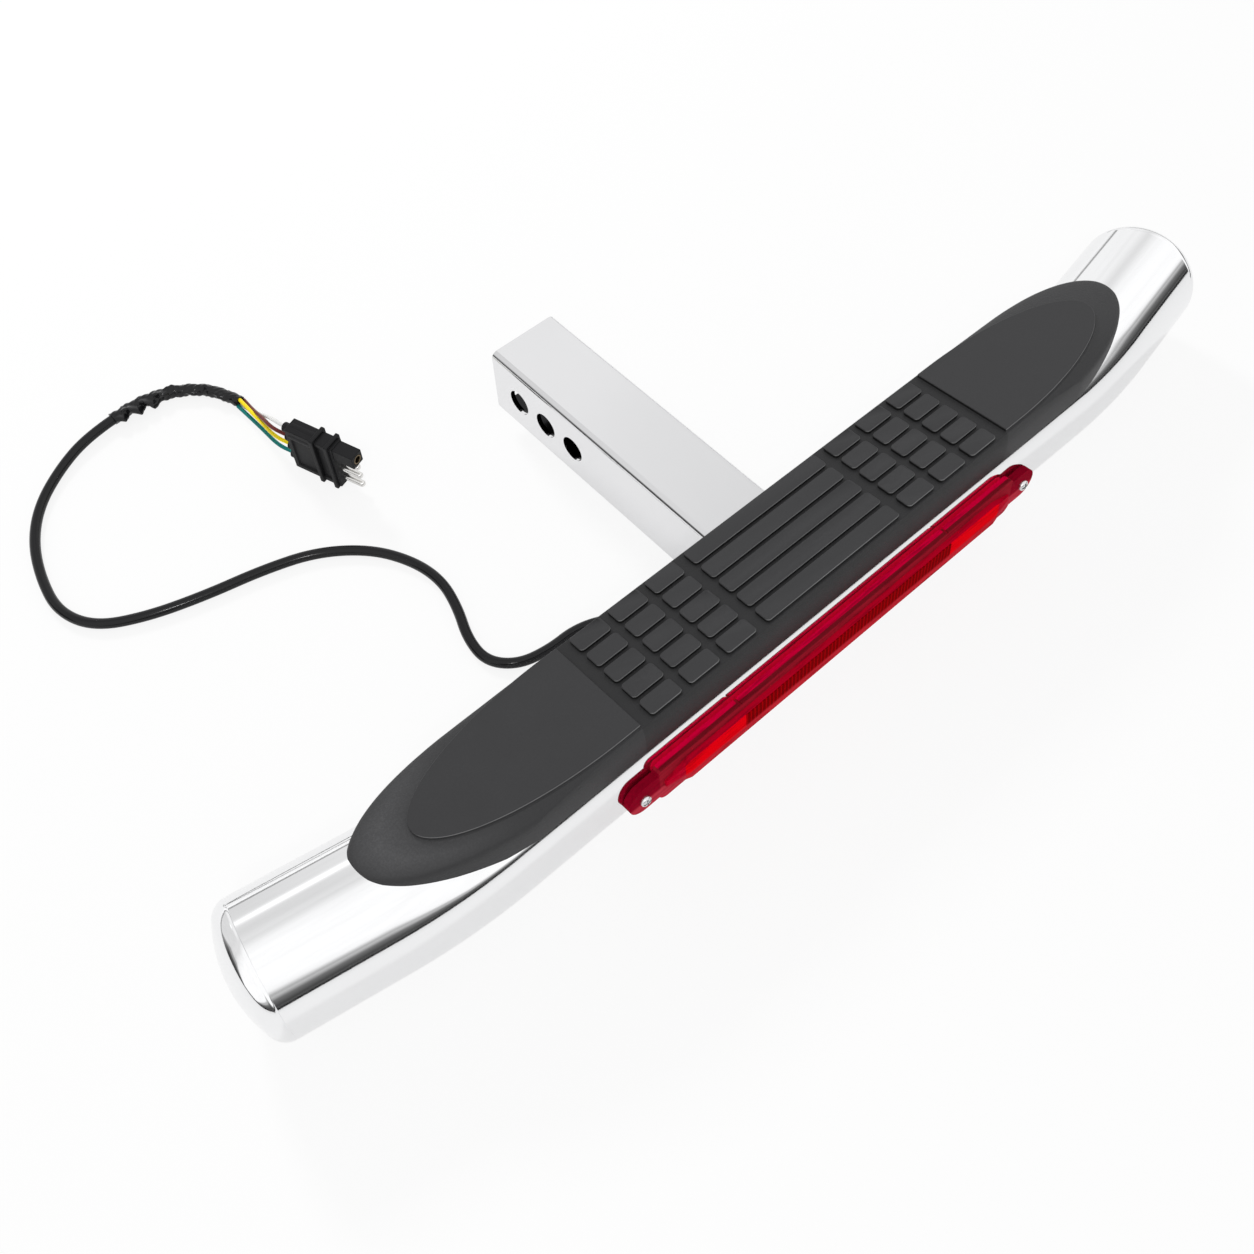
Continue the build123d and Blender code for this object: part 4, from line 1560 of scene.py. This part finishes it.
@dataclass
class Harness:
    """Free cable with its tape, four wires and the grommet that it leaves by."""

    cable_radius: float = 0.00325
    tape_radius: float = 0.00475
    tape_length: float = 0.092
    tape_cuts: int = 120
    tape_sides: int = 72
    wire_radius: float = 0.0013
    cable_length: float = 0.591
    wire_length: float = 0.076

    def cable_route(self) -> list[Point]:
        """Points of the cable, from the grommet to the tape.

        Returns:
            The points.
        """
        route = [
            (-0.0770, 0.0690, 0.00600),
            (-0.0950, 0.0780, 0.00325),
            (-0.1150, 0.0775, 0.00325),
            (-0.1350, 0.0820, 0.00325),
            (-0.1475, 0.0960, 0.00325),
            (-0.1460, 0.1155, 0.00325),
            (-0.1370, 0.1365, 0.00325),
            (-0.1320, 0.1585, 0.00325),
            (-0.1360, 0.1815, 0.00325),
            (-0.1500, 0.2065, 0.00325),
            (-0.1760, 0.2275, 0.00325),
            (-0.2080, 0.2385, 0.00325),
            (-0.2430, 0.2460, 0.00325),
            (-0.2770, 0.2565, 0.00325),
            (-0.3040, 0.2715, 0.00325),
            (-0.3150, 0.2955, 0.00325),
            (-0.3110, 0.3240, 0.00325),
            (-0.3010, 0.3525, 0.00325),
            (-0.2840, 0.3760, 0.00325),
            (-0.2590, 0.3935, 0.00370),
            (-0.2340, 0.4035, 0.00475),
            (-0.2140, 0.4055, 0.00475),
        ]
        start = [(-0.070, -0.15047, -0.01610), (-0.070, -0.13234, -0.02455)]
        return start + [self.on_floor(point) for point in route]

    def tape_route(self) -> list[Point]:
        """Points of the tape, from the jacket's end to the wires.

        Returns:
            The points.
        """
        route = [
            (-0.2140, 0.4055, 0.00475),
            (-0.1960, 0.4073, 0.00475),
            (-0.1775, 0.4025, 0.00475),
            (-0.1605, 0.3930, 0.00475),
            (-0.1490, 0.3785, 0.00475),
            (-0.1435, 0.3615, 0.00475),
        ]
        return [self.on_floor(point) for point in route]

    def wire_routes(self) -> dict[Slot, list[Point]]:
        """Points of each wire, from the tape into the plug.

        Returns:
            The points, by wire.
        """
        return {
            Slot.GREEN: [
                (-0.14645, 0.17550, -0.03450),
                (-0.14610, 0.16380, -0.03400),
                (-0.14601, 0.14500, -0.03270),
                (-0.14641, 0.12635, -0.03110),
                (-0.14250, 0.11500, -0.03110),
                (-0.13924, 0.10555, -0.03110),
            ],
            Slot.YELLOW: [
                (-0.14350, 0.17650, -0.03120),
                (-0.14420, 0.16450, -0.02940),
                (-0.14533, 0.14500, -0.02610),
                (-0.14641, 0.12635, -0.02290),
                (-0.14250, 0.11500, -0.02290),
                (-0.13924, 0.10555, -0.02290),
            ],
            Slot.BROWN: [
                (-0.14055, 0.17750, -0.03450),
                (-0.14190, 0.16520, -0.03180),
                (-0.14400, 0.14560, -0.02220),
                (-0.14641, 0.12635, -0.01470),
                (-0.14250, 0.11500, -0.01470),
                (-0.13924, 0.10555, -0.01470),
            ],
            Slot.WHITE: [
                (-0.14350, 0.17650, -0.03580),
                (-0.14260, 0.16500, -0.03450),
                (-0.14050, 0.14750, -0.02500),
                (-0.14280, 0.13150, -0.01250),
                (-0.14250, 0.11500, -0.00650),
                (-0.13924, 0.10555, -0.00650),
            ],
        }

    @staticmethod
    def on_floor(point: Point) -> Point:
        """Place of a point given by X, distance past the tube and height over the floor."""
        return (point[0], TUBE_Y + point[1], FLOOR_Z + point[2])

    @staticmethod
    def draw(name: str, route: Sequence[Point], radius: float) -> bpy.types.Object:
        """Draws a smooth cord along a route.

        Args:
            name: The cord's name.
            route: Its control points.
            radius: Its radius, or 0 for a bare line.

        Returns:
            The curve.
        """
        data = bpy.data.curves.new(name, "CURVE")
        data.dimensions = "3D"
        data.bevel_depth = radius
        data.bevel_resolution = 6
        data.use_fill_caps = radius > 0
        spline = data.splines.new("NURBS")
        spline.points.add(len(route) - 1)
        for point, place in zip(spline.points, route):
            point.co = (*place, 1.0)
        spline.order_u = 3
        spline.use_endpoint_u = True
        spline.resolution_u = 8
        cord = bpy.data.objects.new(name, data)
        bpy.context.scene.collection.objects.link(cord)
        return cord

    def build_tape(self) -> bpy.types.Object:
        """Wraps a crumpled sleeve with loose, folded ends round the line of the tape.

        Returns:
            The tape.
        """
        line = self.draw("tape_line", self.tape_route(), 0.0)
        length = self.tape_length
        end = (length, 0, 0)
        tape = Bench.rod("tape_wrap_skin", self.tape_radius, (0, 0, 0), end, self.tape_sides)
        Bench.edit(tape)
        Bench.choose(tape, Element.EDGE, lambda edge: Bench.span(edge, 0) > 0.5 * length)
        bpy.ops.mesh.subdivide(number_cuts=self.tape_cuts)
        Bench.clear()
        for vert in tape.data.vertices:
            turn = math.atan2(vert.co.z, vert.co.y)
            along = vert.co.x / length
            scale = self.tape_swell(turn, along)
            vert.co.y *= scale
            vert.co.z *= scale
        Bench.modify(tape, "CURVE", object=line, deform_axis="POS_X")
        Bench.discard(line)
        Bench.smooth(tape, 24.0)
        return tape

    @staticmethod
    def tape_swell(turn: float, along: float) -> float:
        """How far the tape stands out, as a share of its radius.

        Args:
            turn: The angle round the tape.
            along: The place along it, from 0 to 1.

        Returns:
            The share.
        """
        lap = (along * 9.0 + turn / math.tau) % 1.0
        crease = math.sin(turn * 3 + along * 37) * math.sin(along * 91 + turn * 2)
        swell = 0.86 - 0.09 * lap + 0.09 * crease
        for place, reach, side, height in TAPE_FLAPS:
            near = max(0.0, 1.0 - abs(along - place) / reach)
            across = math.cos(turn - side - 5.0 * (along - place))
            if across > 0:
                swell += height * near * across**14
        return swell

    def build(self, box: Paintbox, plug: Sequence[Union[bpy.types.Object, str]]) -> None:
        """Args:
            box: The finishes.
            plug: The pieces of the plug on the far end; not used.
        """
        cable = self.draw("cable_skin", self.cable_route(), self.cable_radius)
        box.dress(cable, Slot.JACKET, "cable")
        tape = box.dress(self.build_tape(), Slot.TAPE, "tape_wrap")
        for slot, route in self.wire_routes().items():
            colour = slot.name.lower()
            wire = self.draw(f"wire_{colour}_skin", route, self.wire_radius)
            box.dress(wire, slot, f"wire_{colour}")
        box.dress_node("cable_grommet", Slot.GROMMET)
        box.dress_node("lamp_lead", Slot.JACKET)


@dataclass
class TrailerPlug:
    """Flat four-way plug that stands on its narrow side."""

    place: Point = (-0.1425, 0.1150, FLOOR_Z)
    heading: float = math.radians(-71.0)
    boot: float = 0.005
    length: float = 0.036
    height: float = 0.0354
    thickness: float = 0.011
    rib: float = 0.0016
    rib_places: tuple[float, ...] = (0.020, 0.031)
    rib_width: float = 0.003
    terminals: tuple[float, ...] = (0.0070, 0.0152, 0.0234, 0.0316)
    pin_length: float = 0.015
    shroud: float = 0.0096
    recess: float = 0.0012
    recess_margin: float = 0.0035
    hump_radius: float = 0.0057
    hump_run: tuple[float, float] = (0.0065, 0.0270)
    boot_radius: float = 0.0033
    boot_reach: float = 0.008
    bore_radius: float = 0.0033
    edge_round: float = 0.0009

    def build_body(self) -> bpy.types.Object:
        """Moulds the body, its ribs, wire boots and the shrouded terminal.

        Returns:
            The body.
        """
        middle = self.rib + self.height / 2
        front = self.boot + self.length
        size = (self.length, self.thickness, self.height)
        body = Bench.block("plug_body_skin", size, (self.boot + self.length / 2, 0, middle))
        parts = [body]
        for side in (-1, 1):
            Bench.edit(body)
            Bench.choose(body, Element.FACE, lambda face: face.normal.y * side > 0.9)
            bpy.ops.mesh.inset(thickness=self.recess_margin)
            inward = (0, -side * self.recess, 0)
            bpy.ops.mesh.extrude_region_move(TRANSFORM_OT_translate={"value": inward})
            Bench.clear()
        for place in self.rib_places:
            size = (self.rib_width, self.thickness + 2 * self.rib, self.height + 2 * self.rib)
            centre = (self.boot + place + self.rib_width / 2, 0, middle)
            parts.append(Bench.block("rib", size, centre))
        hump = self.terminals[-1]
        start, end = self.hump_run
        parts.append(Bench.rod("hump", self.hump_radius, (start, 0, hump), (end, 0, hump), 40))
        for row in self.terminals:
            parts.append(Bench.rod("boot", self.boot_radius, (0.0, 0, row), (self.boot_reach, 0, row), 32))
        size = (self.pin_length + 0.002, self.shroud, self.shroud)
        shroud = Bench.block("shroud", size, (front + self.pin_length / 2 - 0.001, 0, hump))
        bore = Bench.rod("bore", self.bore_radius, (front + 0.002, 0, hump), (front + 0.03, 0, hump), 40)
        Bench.combine(shroud, bore, Cut.CARVE)
        parts.append(shroud)
        body = Bench.join("plug_body_skin", parts)
        Bench.soften(body, self.edge_round, 3, 40.0)
        return Bench.settle(body, self.place, (0, 0, self.heading))

    def build(self, box: Paintbox) -> list[Union[bpy.types.Object, str]]:
        """Builds and paints the plug.

        Args:
            box: The finishes.

        Returns:
            The pieces that lie on the cable's end.
        """
        body = box.dress(self.build_body(), Slot.PLUG, "plug_body")
        box.dress_node("plug_pins", Slot.PIN)
        box.dress_node("plug_socket", Slot.SOCKET)
        return [body, "plug_pins", "plug_socket"]


def main() -> None:
    """Builds the studio and the part, piece by piece."""
    logging.basicConfig(level=logging.INFO, format="%(name)s %(message)s")
    box = Paintbox()
    Studio().build()
    plug = TrailerPlug().build(box)
    Harness().build(box, plug)
    StepBar().build(box)
    ReceiverShank().build(box)
    TreadPad().build(box)
    LightBar().build(box)
    Bench.clear()


if __name__ == "__main__":
    main()
